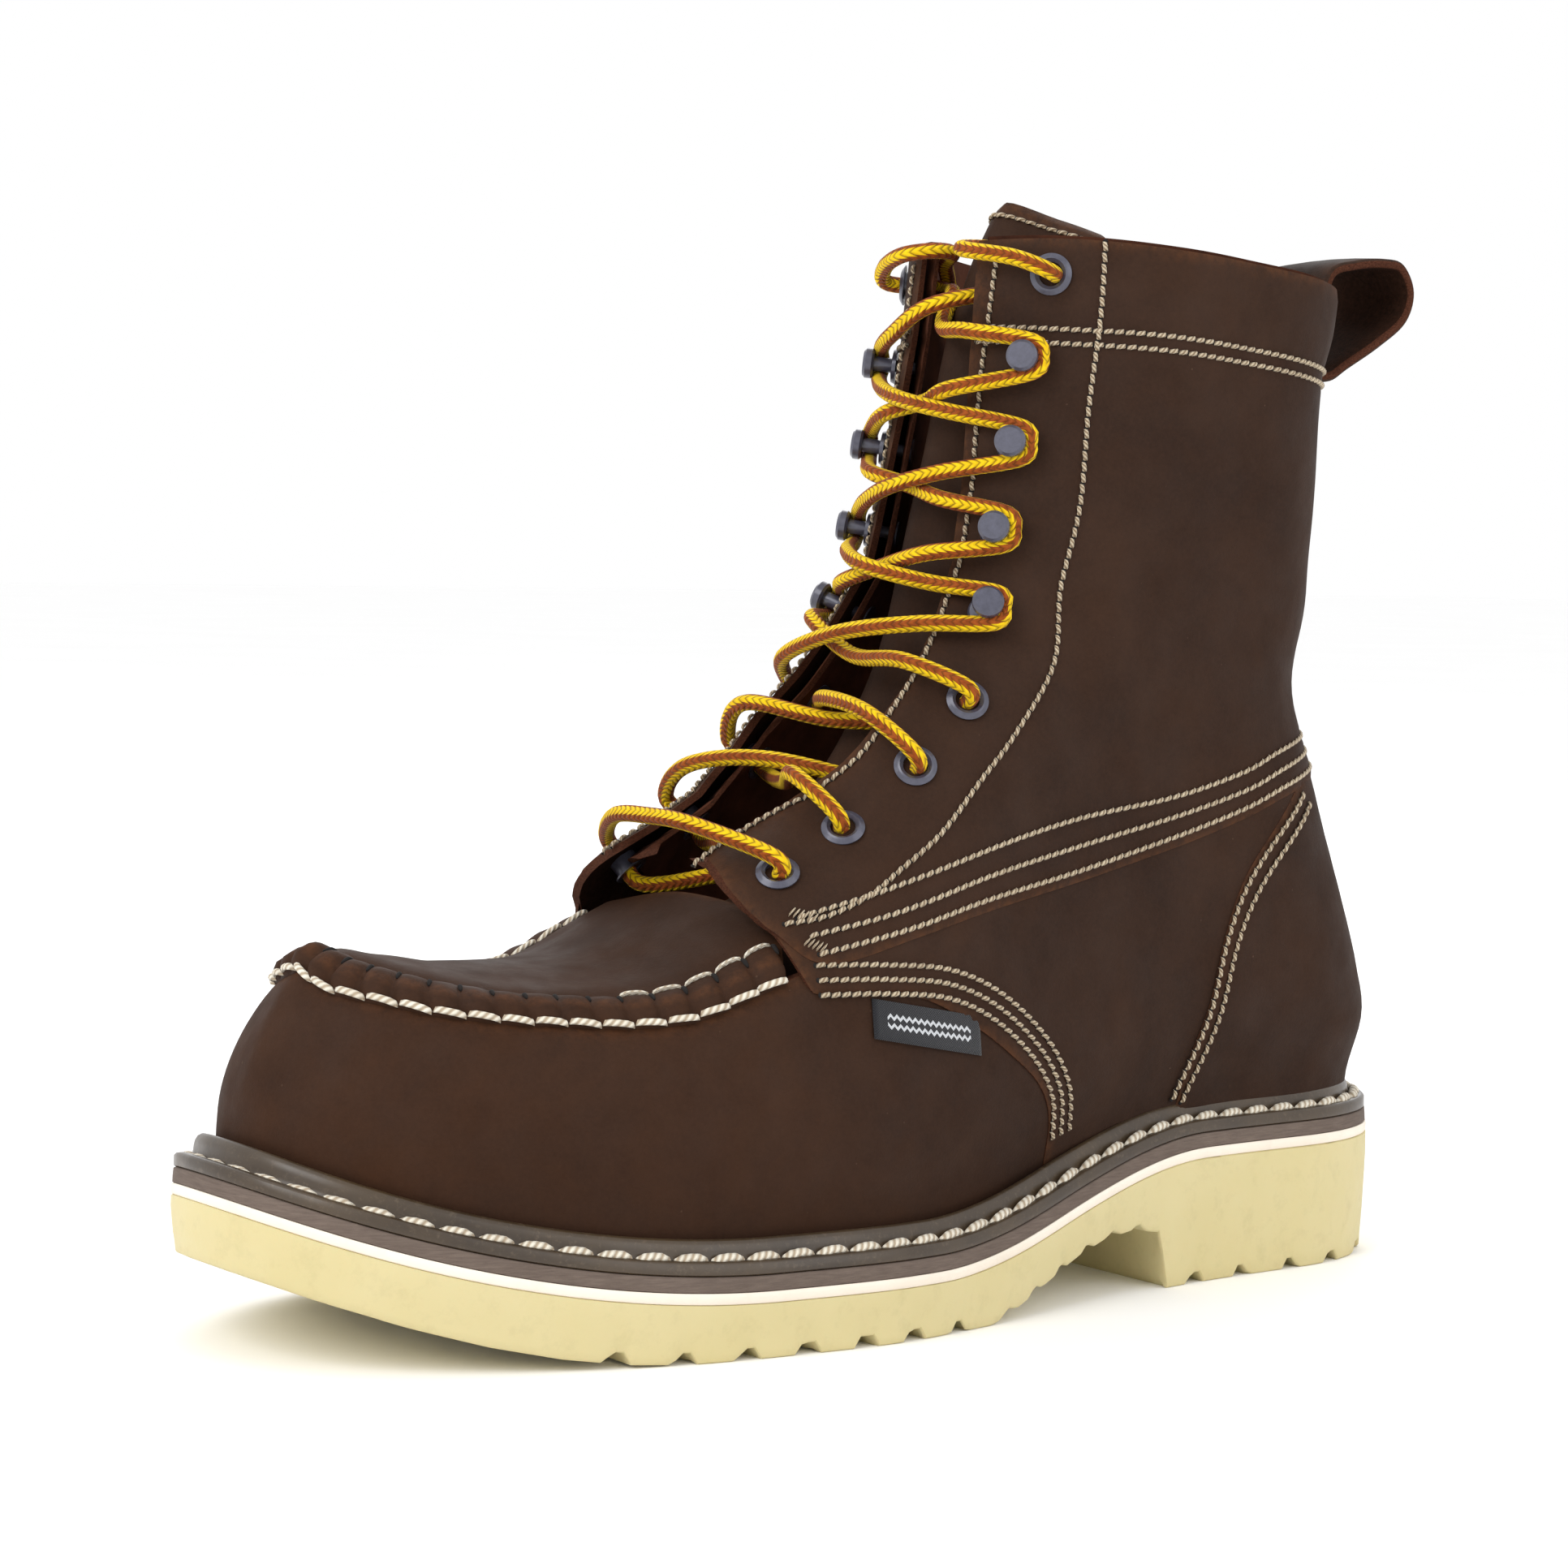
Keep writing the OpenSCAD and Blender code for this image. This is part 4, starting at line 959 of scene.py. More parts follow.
SOLE_STEP = 1.6
TREAD = [[156, 0], [66, 0], [63.5, 13], [54, 14.5], [44, 13.5], [34, 10.5], [24, 6.5], [14, 2.5], [6, 0],
         [-72, 0], [-84, 0.7], [-98, 2.6], [-112, 5.6], [-126, 9.6], [-140, 14.4], [-156, 20.5]]
NOTCH_Y = [-87, -73, -59, -45, -31, -18, -5, 8]
HEEL_NOTCH_Y = [76, 91, 107, 122]
NOTCH_DEPTH = 2.4


def plan_half(y, front, heel):
    grow = front + (heel - front) * ease((y - 20) / 70)
    return ((curve(HALF_WIDTH, y) + grow) * rounding((FOOT_TOE + TOE_ROUND - y) / (TOE_ROUND + front), 2.25)
            * rounding((y - FOOT_HEEL + HEEL_ROUND) / (HEEL_ROUND + heel), 2.2))


def sole_outline(step=SOLE_STEP):
    """Points round the sole's edge and their inward directions, evenly spaced."""
    low, high = FOOT_TOE - SOLE_EDGE_FRONT, FOOT_HEEL + SOLE_EDGE_HEEL
    t = np.linspace(0, math.pi, 1500)
    y = (low + high) / 2 + (high - low) / 2 * np.cos(t)
    w = plan_half(y, SOLE_EDGE_FRONT, SOLE_EDGE_HEEL)
    line = np.vstack([np.column_stack([curve(MIDDLE, y) + w, y]),
                      np.column_stack([curve(MIDDLE, y) - w, y])[::-1][1:-1]])
    line = resample(line, step, closed=True)
    along = np.roll(line, -2, axis=0) - np.roll(line, 2, axis=0)
    along /= np.linalg.norm(along, axis=1)[:, None]
    inward = np.column_stack([along[:, 1], -along[:, 0]])
    centre = np.array([4.0, 0.0])
    toward = np.sign(np.sum(inward * (centre - line), axis=1))
    if np.mean(toward) < 0:
        inward = -inward
    return line, inward


SOLE_LINE, SOLE_IN = sole_outline()


def sole_ring(name, profile, material, node):
    """A closed ring swept round the sole. profile is a closed list of (inward, above the cream layer)."""
    n, m = len(SOLE_LINE), len(profile)
    vertices = []
    base = sole_z(SOLE_LINE[:, 1])
    for inward, above in profile:
        vertices.append(np.column_stack([SOLE_LINE + SOLE_IN * inward, base + above]))
    stack = np.stack(vertices, axis=1).reshape(-1, 3)
    thing = object_from(name, stack, band_faces(n, m, closed=True), [material])
    split_by_angle(thing, 50)
    return settle(thing, replaces=[node])


def split_by_angle(thing, degrees):
    """Keeps edges sharper than an angle crisp while the rest shades smooth."""
    work = bmesh.new()
    work.from_mesh(thing.data)
    limit = math.radians(degrees)
    for e in work.edges:
        e.smooth = not (len(e.link_faces) == 2 and e.calc_face_angle(0) > limit)
    work.to_mesh(thing.data)
    work.free()


def tread_z(x, y):
    """Height of the underside: heel block, arched waist, forefoot with toe spring, notches and grooves."""
    table = np.array(TREAD[::-1], float)
    z = np.interp(y, table[:, 0], table[:, 1])
    edge = SOLE_LINE[:, None, :] - np.column_stack([x, y])[None]
    rim = np.sqrt(np.min(np.sum(edge**2, axis=2), axis=0))
    cut = np.zeros(len(x))
    for y0 in NOTCH_Y + HEEL_NOTCH_Y:
        half = 2.1 + 0.4 * np.clip(1 - rim / 6, 0, 1)
        shape = np.clip((half - np.abs(y - y0)) / 0.7, 0, 1) * np.clip((9.5 - rim) / 1.2, 0, 1)
        cut = np.maximum(cut, shape)
    for x0 in (-20, -4, 12, 28):
        shape = np.clip((3.0 - np.abs(x - x0)) / 0.7, 0, 1) * np.clip((9.0 - rim) / 1.2, 0, 1)
        cut = np.maximum(cut, shape * (y > 125))
    in_tread = (y > 66) | (y < 6)
    z = z + cut * NOTCH_DEPTH * in_tread
    groove = np.zeros(len(x))
    for y0 in (-104, -86, -68, -50, -32, -14):
        off = np.abs((y - y0) - 0.14 * (x - 4) - 2.2 * np.sin(x / 5.0))
        groove = np.maximum(groove, np.clip((1.8 - off) / 0.6, 0, 1) * np.clip((rim - 14) / 1.5, 0, 1))
    for y0 in (84, 102, 120):
        shape = np.clip((1.8 - np.abs(y - y0)) / 0.6, 0, 1) * np.clip((rim - 13) / 1.5, 0, 1)
        groove = np.maximum(groove, shape)
    in_waist = (y > 6) & (y < 63)
    scallop = 1.6 * np.clip(np.sin(2 * math.pi * y / 9.0), 0, 1) * in_waist * np.clip(1 - rim / 9, 0, 1)
    return z + groove * 2.4 + scallop


def make_outsole():
    top = -CREAM_T - 0.05
    n = len(SOLE_LINE)
    low = tread_z(SOLE_LINE[:, 0] + SOLE_IN[:, 0] * 1.2, SOLE_LINE[:, 1] + SOLE_IN[:, 1] * 1.2)
    high = sole_z(SOLE_LINE[:, 1]) + top
    rows = []
    for t, e in ((0.0, 0.5), (0.012, 0.05), (0.2, 0.0), (0.45, 0.25), (0.7, 0.55), (0.9, 0.9)):
        z = high + (low + 0.9 - high) * t
        rows.append(np.column_stack([SOLE_LINE + SOLE_IN * e, z]))
    rows.append(np.column_stack([SOLE_LINE + SOLE_IN * 1.05, low + 0.55]))
    rows.append(np.column_stack([SOLE_LINE + SOLE_IN * 1.35, low + 0.12]))
    side = np.stack(rows, axis=0)
    rim = SOLE_LINE + SOLE_IN * 1.7
    flat, faces, edge = triangulate(rim, 1.9)
    under = np.column_stack([flat, tread_z(flat[:, 0], flat[:, 1])])
    under[edge, 2] = low
    lid_flat, lid_faces, lid_edge = triangulate(SOLE_LINE + SOLE_IN * 0.5, 9.0)
    lid = np.column_stack([lid_flat, sole_z(lid_flat[:, 1]) + top])
    vertices = np.vstack([side.reshape(-1, 3), under, lid])
    m = len(rows)
    all_faces = [(r * n + i, r * n + (i + 1) % n, (r + 1) * n + (i + 1) % n, (r + 1) * n + i)
                 for r in range(m - 1) for i in range(n)]
    start = m * n
    all_faces += [tuple(start + v for v in f) for f in faces]
    all_faces += [((m - 1) * n + i, (m - 1) * n + (i + 1) % n, start + edge[(i + 1) % n], start + edge[i])
                  for i in range(n)]
    above = start + len(under)
    all_faces += [tuple(above + v for v in f) for f in lid_faces]
    all_faces += [(i, (i + 1) % n, above + lid_edge[(i + 1) % n], above + lid_edge[i]) for i in range(n)]
    thing = object_from("outsole_rubber", vertices, all_faces, [YELLOW_RUBBER])
    split_by_angle(thing, 40)
    settle(thing, replaces=["outsole"])


def make_sole():
    make_outsole()
    cream = [(0.25, 0), (0.05, -0.25), (0.0, -0.9), (0.05, -CREAM_T + 0.3), (0.3, -CREAM_T), (14, -CREAM_T),
             (14, 0)]
    sole_ring("cream_band", cream, CREAM_RUBBER, "cream_layer")
    mid = [(0.55, 0.05), (0.3, 0.25), (0.35, 1.6), (0.5, MIDSOLE_T - 0.2), (0.75, MIDSOLE_T), (15, MIDSOLE_T),
           (15, 0.05)]
    sole_ring("midsole_layer", mid, MIDSOLE, "midsole")
    w, top = MIDSOLE_T, MIDSOLE_T + WELT_T
    welt = [(1.0, w + 0.05), (0.55, w + 0.4), (0.6, top - 0.5), (1.1, top), (2.35, top + 0.1),
            (2.75, top - 0.3), (3.1, top - 1.0), (3.7, top - 1.15), (4.15, top - 0.7), (4.45, top + 0.5),
            (4.6, top + 1.6), (4.85, top + 2.6), (5.4, top + 3.5), (6.2, top + 3.9), (6.9, top + 3.6),
            (7.4, top + 2.6), (7.6, top + 0.6), (13, top - 0.4), (13, w + 0.05)]
    sole_ring("welt_strip", welt, WELT, "welt")
    closed = np.arange(len(SOLE_LINE) + 1) % len(SOLE_LINE)
    line = (SOLE_LINE + SOLE_IN * 3.35)[closed]
    path = np.column_stack([line, sole_z(line[:, 1]) + top - 0.55])
    outward = -SOLE_IN[closed]
    normals = np.column_stack([outward * 0.35, np.full(len(path), 0.94)])
    stitches("welt_stitching", path, normals, 8.2, 2.1, HEAVY_THREAD, gap=0.0, holes=False, slant=0.5,
             lift=0.15, sides=8)


make_sole()

# ---------------------------------------------------------------- upper

LEATHER_SET = [LEATHER, RAW, FLESH]


def outline_of(parts, step=1.6):
    """Closed outline from stretches of points, resampled stretch by stretch so that corners stay."""
    rows = []
    for part in parts:
        rows.append(resample(np.array(part, float), step)[:-1])
    return np.vstack(rows)


def edge_groove(lines, depth=0.28, width=0.9):
    """Leather drawn in along rows of stitches, on a chart."""
    flats = [resample(line, 1.5) for line in lines]

    def bend(u, z):
        points = np.column_stack([u, z])
        near = np.min([polyline_distance(points, line) for line in flats], axis=0)
        return depth * np.exp(-(near / width) ** 2)
    return bend


def ripple(u, z, size, amount, seed):
    """Gentle unevenness of worn-in leather."""
    a = np.sin(u / size + seed) * np.sin(z / (size * 1.3) + 2 * seed)
    b = np.sin((u + z) / (size * 0.62) + 3 * seed) * np.sin((u - 0.6 * z) / (size * 0.8) + seed)
    return amount * (0.6 * a + 0.4 * b)


COLLAR_ROW = [(9, 216), (14, 216), (36, 215), (59, 214), (81, 212), (104, 209.5), (118, 208.3), (140, 207.5)]
FACING_ROW = [(46, 234.5), (45, 216), (43, 198), (41, 176), (37, 159), (33, 141), (21, 126), (10, 116),
              (-1, 106), (-12, 99), (-22, 93), (-33, 88.6), (-42, 87.2)]
SEAM_ROWS = [[(-39, 88.3), (-22, 92.8), (8, 101), (37, 107), (65, 111), (86, 116), (100, 121), (118, 124.5),
              (140, 127)],
             [(-38, 84.7), (-18, 89), (8, 95.5), (37, 101), (65, 106.5), (87, 112), (101, 117), (118, 120.7),
              (140, 123)],
             [(-37, 81.2), (-14, 86), (8, 90.8), (37, 95.7), (65, 102), (87, 108), (101, 113), (118, 116.8),
              (140, 119)]]
HEEL_ROWS = [[(108, 111), (96, 100), (87, 89), (81, 76), (78, 63), (74, 52), (70, 42)],
             [(111, 108.6), (99, 97.8), (90, 87), (84.2, 75.2), (81.2, 62.4), (77.2, 51), (73.2, 41)]]
CURVE_ROW = [(-38, 79), (-22, 78.6), (-4, 76.6), (11, 70.6), (25, 60), (33, 49), (36, 38)]
CURVE_LEATHER = [(-44.5, 86.8), (-40, 74.5), (-38, 73), (-27, 72.2), (-12, 71), (3, 64), (14, 57), (23, 50),
                 (28, 42), (29, 34), (28.5, 24)]
SHAFT_LOW = [(-45.5, 86.8), (-36, 79.2), (-14, 83.6), (8, 88.2), (37, 93.2), (65, 99.4), (87, 105.5),
             (101, 110.4), (118, 114.2), (140, 116.5)]


def bottom_line(start, end, above=3.2):
    y = np.linspace(start, end, 40)
    return np.column_stack([y, sole_z(y) + above])


def flap_edge(low, high, back=0.0):
    z = np.linspace(low, high, 60)
    return np.column_stack([flap_front_y(z, SKIN_OUT) + back, z])


def shaft_outline(low_line, top_line, front, z_low, z_high):
    """Chart outline: along the bottom to the back's middle, up it, forward along the top, down the front."""
    low = shaft_u(*np.array(low_line).T)
    back_z = np.linspace(z_low, z_high, 40)
    back = np.column_stack([heel_middle_u(back_z), back_z])
    low = low[low[:, 0] < back[0, 0] - 0.5]
    low = np.vstack([low, back[:1]])
    top = shaft_u(*np.array(top_line).T)
    top = top[top[:, 0] < back[-1, 0] - 0.5]
    top = np.vstack([back[-1:], top[::-1]])
    front = shaft_u(*np.array(front).T)
    return outline_of([low, back, top, np.vstack([top[-1:], front]), np.vstack([front[-1:], low[:1]])])


def chart_rows(rows):
    return [shaft_u(*smooth_line(row, 1.5).T) for row in rows]


def front_row(offset, low, high):
    """Row of stitches that follows the flap's front edge."""
    z = np.linspace(high, low, 60)
    return np.column_stack([flap_front_y(z, SKIN_OUT) + offset * 0.55, z])


def make_shaft(sign, word):
    top = smooth_line(COLLAR, 2)
    front = np.vstack([flap_edge(101.5, 234.6)[::-1], [[-46.5, 99], [-48, 94], [-47.2, 90]]])
    low = smooth_line(SHAFT_LOW, 2)
    outline = shaft_outline(low, top, front, 116.7, 226.3)
    rows = chart_rows([COLLAR_ROW, [(y, z - 3.2) for y, z in COLLAR_ROW], FACING_ROW, *SEAM_ROWS])
    edge_row = shaft_u(*front_row(3.2, 98, 231).T)
    groove = edge_groove(rows + [edge_row])
    low_flat = shaft_u(*low.T)

    def bend(u, z):
        near_seam = polyline_distance(np.column_stack([u, z]), low_flat)
        lap = -0.75 * np.exp(-(near_seam / 12) ** 2)
        ankle = np.exp(-((z - 140) / 26) ** 2) * np.exp(-((u - 95) / 45) ** 2)
        folds = 0.9 * ankle * np.sin((z - 0.25 * u) / 5.2) * np.exp(-((u - 128) / 26) ** 2)
        return groove(u, z) + lap + ripple(u, z, 21, 0.45, sign) + folds

    thing = panel("shaft_leather_" + word, outline, shaft_chart, sign, SKIN_OUT, SKIN_IN, LEATHER_SET,
                  step=3.0, fine_lines=[resample(r, 3) for r in rows + [edge_row]] + [resample(low_flat, 3)],
                  bend=bend)
    settle(thing, replaces=["shaft_" + word])
    seams = [("collar_upper", COLLAR_ROW), ("collar_lower", [(y, z - 3.2) for y, z in COLLAR_ROW]),
             ("facing", FACING_ROW)]
    seams += [("side_seam_%d" % (k + 1), row) for k, row in enumerate(SEAM_ROWS)]
    for seam, row in seams:
        flat = resample(shaft_u(*smooth_line(row, 1.0).T), 1.0)
        flat = flat[flat[:, 0] < heel_middle_u(flat[:, 1]) - 7.6]
        lift = -0.75 * np.exp(-(polyline_distance(flat, low_flat) / 12) ** 2)
        depth = SKIN_OUT + lift + 0.2 + ripple(flat[:, 0], flat[:, 1], 21, 0.45, sign)
        points, normals = chart_line(shaft_chart, flat, sign, depth)
        fine_seam("thread_%s_%s" % (seam, word), points, normals)
    flat = resample(edge_row, 1.0)
    depth = SKIN_OUT + 0.2 + ripple(flat[:, 0], flat[:, 1], 21, 0.45, sign)
    points, normals = chart_line(shaft_chart, flat, sign, depth)
    fine_seam("thread_flap_edge_" + word, points, normals, FLAP_PITCH)


def make_quarter(sign, word):
    """Quarter from the curved front edge to under the heel cover, and up under the shaft's lower edge."""
    front = smooth_line(CURVE_LEATHER, 2)
    low = bottom_line(28.6, 86)
    back = [(86, sole_z(86) + 3.2), (88, 50), (92, 70), (98, 90), (112, 113.5)]
    top = [(112, 116), (87, 110), (65, 104), (37, 98), (8, 92.5), (-14, 88), (-36, 84), (-44.5, 88.6)]
    parts = (low, smooth_line(back, 2), smooth_line(top, 2), front)
    charts = [shaft_u(*np.array(part, float).T) for part in parts]
    charts = [np.vstack([part, charts[(k + 1) % 4][:1]]) for k, part in enumerate(charts)]
    outline = outline_of(charts)
    rows = curve_rows()
    groove = edge_groove(rows)
    thing = panel("quarter_leather_" + word, outline, shaft_chart, sign, SKIN_OUT, 0.6, LEATHER_SET, step=3.0,
                  fine_lines=[resample(r, 3) for r in rows],
                  bend=lambda u, z: groove(u, z) + ripple(u, z, 18, 0.25, sign + 4))
    settle(thing, replaces=["quarter_" + word])
    for k, row in enumerate(rows):
        flat = resample(row, 1.0)
        points, normals = chart_line(shaft_chart, flat, sign, SKIN_OUT + 0.2)
        fine_seam("thread_quarter_curve_%d_%s" % (k + 1, word), points, normals)


def curve_rows():
    """Three rows along the quarter's curved front edge, on the shaft chart."""
    base = smooth_line(CURVE_ROW, 1.5)
    along = np.gradient(base, axis=0)
    along /= np.linalg.norm(along, axis=1)[:, None]
    inward = np.column_stack([along[:, 1], -along[:, 0]])
    rows = [base - inward * offset for offset in (0.0, 3.0, 6.0)]
    if rows[2][len(base) // 2][1] > base[len(base) // 2][1]:
        rows = [base + inward * offset for offset in (0.0, 3.0, 6.0)]
    return [shaft_u(*row.T) for row in rows]


def make_heel_cover():
    for sign, word in ((1, "lateral"), (-1, "medial")):
        front = smooth_line([(69, 30), (72.5, 42), (74, 52), (78, 64), (81, 77), (87, 91), (96, 102),
                             (108, 114.5)], 2)
        low = bottom_line(69, 134)
        top = [(108, 114.5), (118, 117.5), (140, 119.5)]
        flat_low = shaft_u(*low.T)
        z_back = np.linspace(float(sole_z(150)) + 3.2, 119.5, 40)
        back = np.column_stack([heel_middle_u(z_back), z_back])
        flat_low = np.vstack([flat_low[flat_low[:, 0] < back[0, 0] - 0.5], back[:1]])
        flat_top = shaft_u(*smooth_line(top, 2).T)
        flat_top = np.vstack([back[-1:], flat_top[flat_top[:, 0] < back[-1, 0] - 0.5][::-1]])
        flat_front = np.vstack([flat_top[-1:], shaft_u(*front[::-1].T)[1:]])
        closing = np.vstack([flat_front[-1:], flat_low[:1]])
        outline = outline_of([flat_low, back, flat_top, flat_front, closing])
        rows = chart_rows(HEEL_ROWS)
        groove = edge_groove(rows)
        front_flat = shaft_u(*front.T)

        def bend(u, z):
            near = polyline_distance(np.column_stack([u, z]), front_flat)
            return groove(u, z) - 0.7 * np.exp(-(near / 14) ** 2) + ripple(u, z, 19, 0.25, 2)

        thing = panel("heel_cover_" + word, outline, shaft_chart, sign, SKIN_OUT - 0.15, 0.8, LEATHER_SET,
                      step=3.0, fine_lines=[resample(r, 3) for r in rows], bend=bend)
        settle(thing, replaces=["heel_cover"])
        for k, row in enumerate(rows):
            flat = resample(row, 1.0)
            near = polyline_distance(flat, front_flat)
            depth = SKIN_OUT + 0.05 - 0.7 * np.exp(-(near / 14) ** 2)
            points, normals = chart_line(shaft_chart, flat, sign, depth)
            fine_seam("thread_heel_%d_%s" % (k + 1, word), points, normals)


def make_lining(sign, word):
    """Reddish leather lining, partly its own colour and partly darkened as painted shade; its folded top edge
    shows as a thin line along the collar.
    """
    top = smooth_line([(y, z + 0.9) for y, z in COLLAR], 2)
    front = np.vstack([flap_edge(103, 235.2, 0.8)[::-1], [[-44, 97]]])
    low = [(-44, 97), (-30, 92), (-10, 80), (10, 66), (26, 48), (32, 40), (60, 42), (100, 44), (134, 44.6)]
    outline = shaft_outline(smooth_line(low, 2), top, front, 44.9, 227.2)

    def fold(u, z):
        return -1.9 * np.clip((z - (curve(COLLAR, np.minimum(u, 140)) - 2.0)) / 2.4, 0, 1)

    thing = panel("lining_leather_" + word, outline, shaft_chart, sign, 3.2, 4.4,
                  [RED_LINING_SHADED, RAW, RED_LINING_SHADED], step=4.0, bend=fold, edge=0.3)
    settle(thing, replaces=["lining_" + word])


def make_collar_pad(sign, word):
    z_low, z_high = 208.0, 231.0
    low = [(44, z_low + 2), (80, z_low), (110, z_low - 3), (140, z_low - 5)]
    top = [(44, z_high), (62, 230), (81, 228), (101, 226), (120, 224), (140, 223)]
    front = [(44, z_high), (43, 220), (44, z_low + 2)]
    outline = shaft_outline(smooth_line(low, 2), smooth_line(top, 2), smooth_line(front, 2), 202.6, 222.6)
    thing = panel("collar_padding_" + word, outline, shaft_chart, sign, 1.3, 3.0, [FOAM, FOAM, FOAM],
                  step=4.0, edge=0.7)
    settle(thing, replaces=["collar_pad_" + word])


for side_sign, side_word in ((1, "lateral"), (-1, "medial")):
    make_shaft(side_sign, side_word)
    make_quarter(side_sign, side_word)
    make_lining(side_sign, side_word)
    make_collar_pad(side_sign, side_word)
make_heel_cover()

# ---------------------------------------------------------------- toe: wall, plug and moccasin seam

MOC_PITCH, MOC_THREAD, MOC_INNER_THREAD = 6.9, 1.4, 1.3
MOC_WIDTH, MOC_INNER_COUNT = 6.4, 5


def plan_to_chart(x, y, z):
    side = np.sign(x - middle(y, z))
    arc = TOE_ARC * np.arctan2(np.abs(x - middle(y, z)), TOE_TURN_Y - y)
    u = np.where(y > TOE_TURN_Y, TOE_QUARTER + y - TOE_TURN_Y, arc)
    return np.column_stack([side * u, z])


def toe_bottom(u, above=3.2):
    """Chart heights of the wall's lower edge."""
    z = np.full(len(u), 30.0)
    for _ in range(4):
        z = sole_z(vamp_chart(u, z, np.zeros(len(u)))[:, 1]) + above
    return np.column_stack([u, z])


def seam_plan():
    return smooth_line(PLUG_PLAN, 0.7)


def make_vamp():
    plan = resample(seam_plan(), 1.6)
    z = plug_height(plan[:, 0], plan[:, 1], 0.0)
    top = plan_to_chart(plan[:, 0], plan[:, 1], z - 0.6)
    back_u = TOE_QUARTER + 33 - TOE_TURN_Y
    low = toe_bottom(np.linspace(-back_u, back_u, 320))
    wing = [(-34, 79), (-12, 76), (8, 70), (24, 58), (33, 44)]
    wing = smooth_line([(TOE_QUARTER + y - TOE_TURN_Y, zz) for y, zz in wing], 2)
    outer = np.vstack([low[-1:], wing[::-1], top[:1]])
    inner = np.vstack([top[-1:], wing * [-1, 1], low[:1]])
    outline = outline_of([low, outer, top, inner])

    def bend(u, z):
        toe = np.exp(-(u / 70) ** 2)
        crease = 0.5 * np.exp(-((z - 0.12 * u - 44) / 5) ** 2) * np.exp(-((u - 120) / 22) ** 2)
        return ripple(u, z, 24, 0.35, 5) * (1 - 0.6 * toe) + crease

    thing = panel("vamp_leather", outline, vamp_chart, 0, 0.0, 2.0, LEATHER_SET, step=2.2, bend=bend,
                  edge=0.1)
    settle(thing, replaces=["vamp"])


def seam_samples():
    """Seam points, outward plan directions, heights and lengths along the moccasin seam."""
    plan = seam_plan()
    along = np.gradient(plan, axis=0)
    along /= np.linalg.norm(along, axis=1)[:, None]
    outward = np.column_stack([along[:, 1], -along[:, 0]])
    if np.sum(outward * (plan - plan.mean(0))) < 0:
        outward = -outward
    s = np.concatenate([[0], np.cumsum(np.linalg.norm(np.diff(plan, axis=0), axis=1))])
    return plan, outward, plug_height(plan[:, 0], plan[:, 1], 0.0), s


def make_plug():
    plan = resample(seam_plan(), 1.6)
    back = [(-37.5, -44), (-30, -39.5), (-10, -39), (14, -39), (38, -39.5), (46.5, -44)]
    outline = outline_of([plan, np.array(back, float)])
    flat, faces, rim = triangulate(outline, 2.0)
    closed = np.vstack([outline, outline[:1]])
    near = polyline_distance(flat, closed)
    z = plug_height(flat[:, 0], flat[:, 1], 0.0)
    side_near = polyline_distance(flat, plan)
    z = z + 0.9 * np.exp(-((side_near - 9) / 5) ** 2) + ripple(flat[:, 0] * 1.3, flat[:, 1], 15, 0.5, 3)
    z = z - 0.5 * (1 - np.clip(near / 1.2, 0, 1)) ** 2
    front = np.column_stack([flat, z])
    low = np.column_stack([flat, z - 2.0])
    n = len(front)
    all_faces = faces + [tuple(n + i for i in reversed(f)) for f in faces]
    count = len(outline)
    all_faces += [(rim[k], n + rim[k], n + rim[(k + 1) % count], rim[(k + 1) % count]) for k in range(count)]
    slots = [0] * len(faces) + [2] * len(faces) + [1] * count
    worn = 0.8 * np.exp(-near / 1.5)
    thing = object_from("plug_leather", np.vstack([front, low]), all_faces, LEATHER_SET, slots,
                        rub=np.concatenate([worn, worn * 0]))
    split_by_angle(thing, 55)
    settle(thing, replaces=["plug"])


SEAM_ROLL = [(-0.3, -2.2), (-1.0, -0.9), (-1.35, 0.5), (-1.25, 1.9), (-0.7, 3.2), (0.4, 4.1), (1.7, 4.35),
             (3.0, 3.9), (4.2, 3.0), (5.4, 1.95), (6.8, 1.1), (8.4, 0.45), (10.2, -0.15), (10.2, -1.2),
             (5, -1.6), (1, -2.2)]


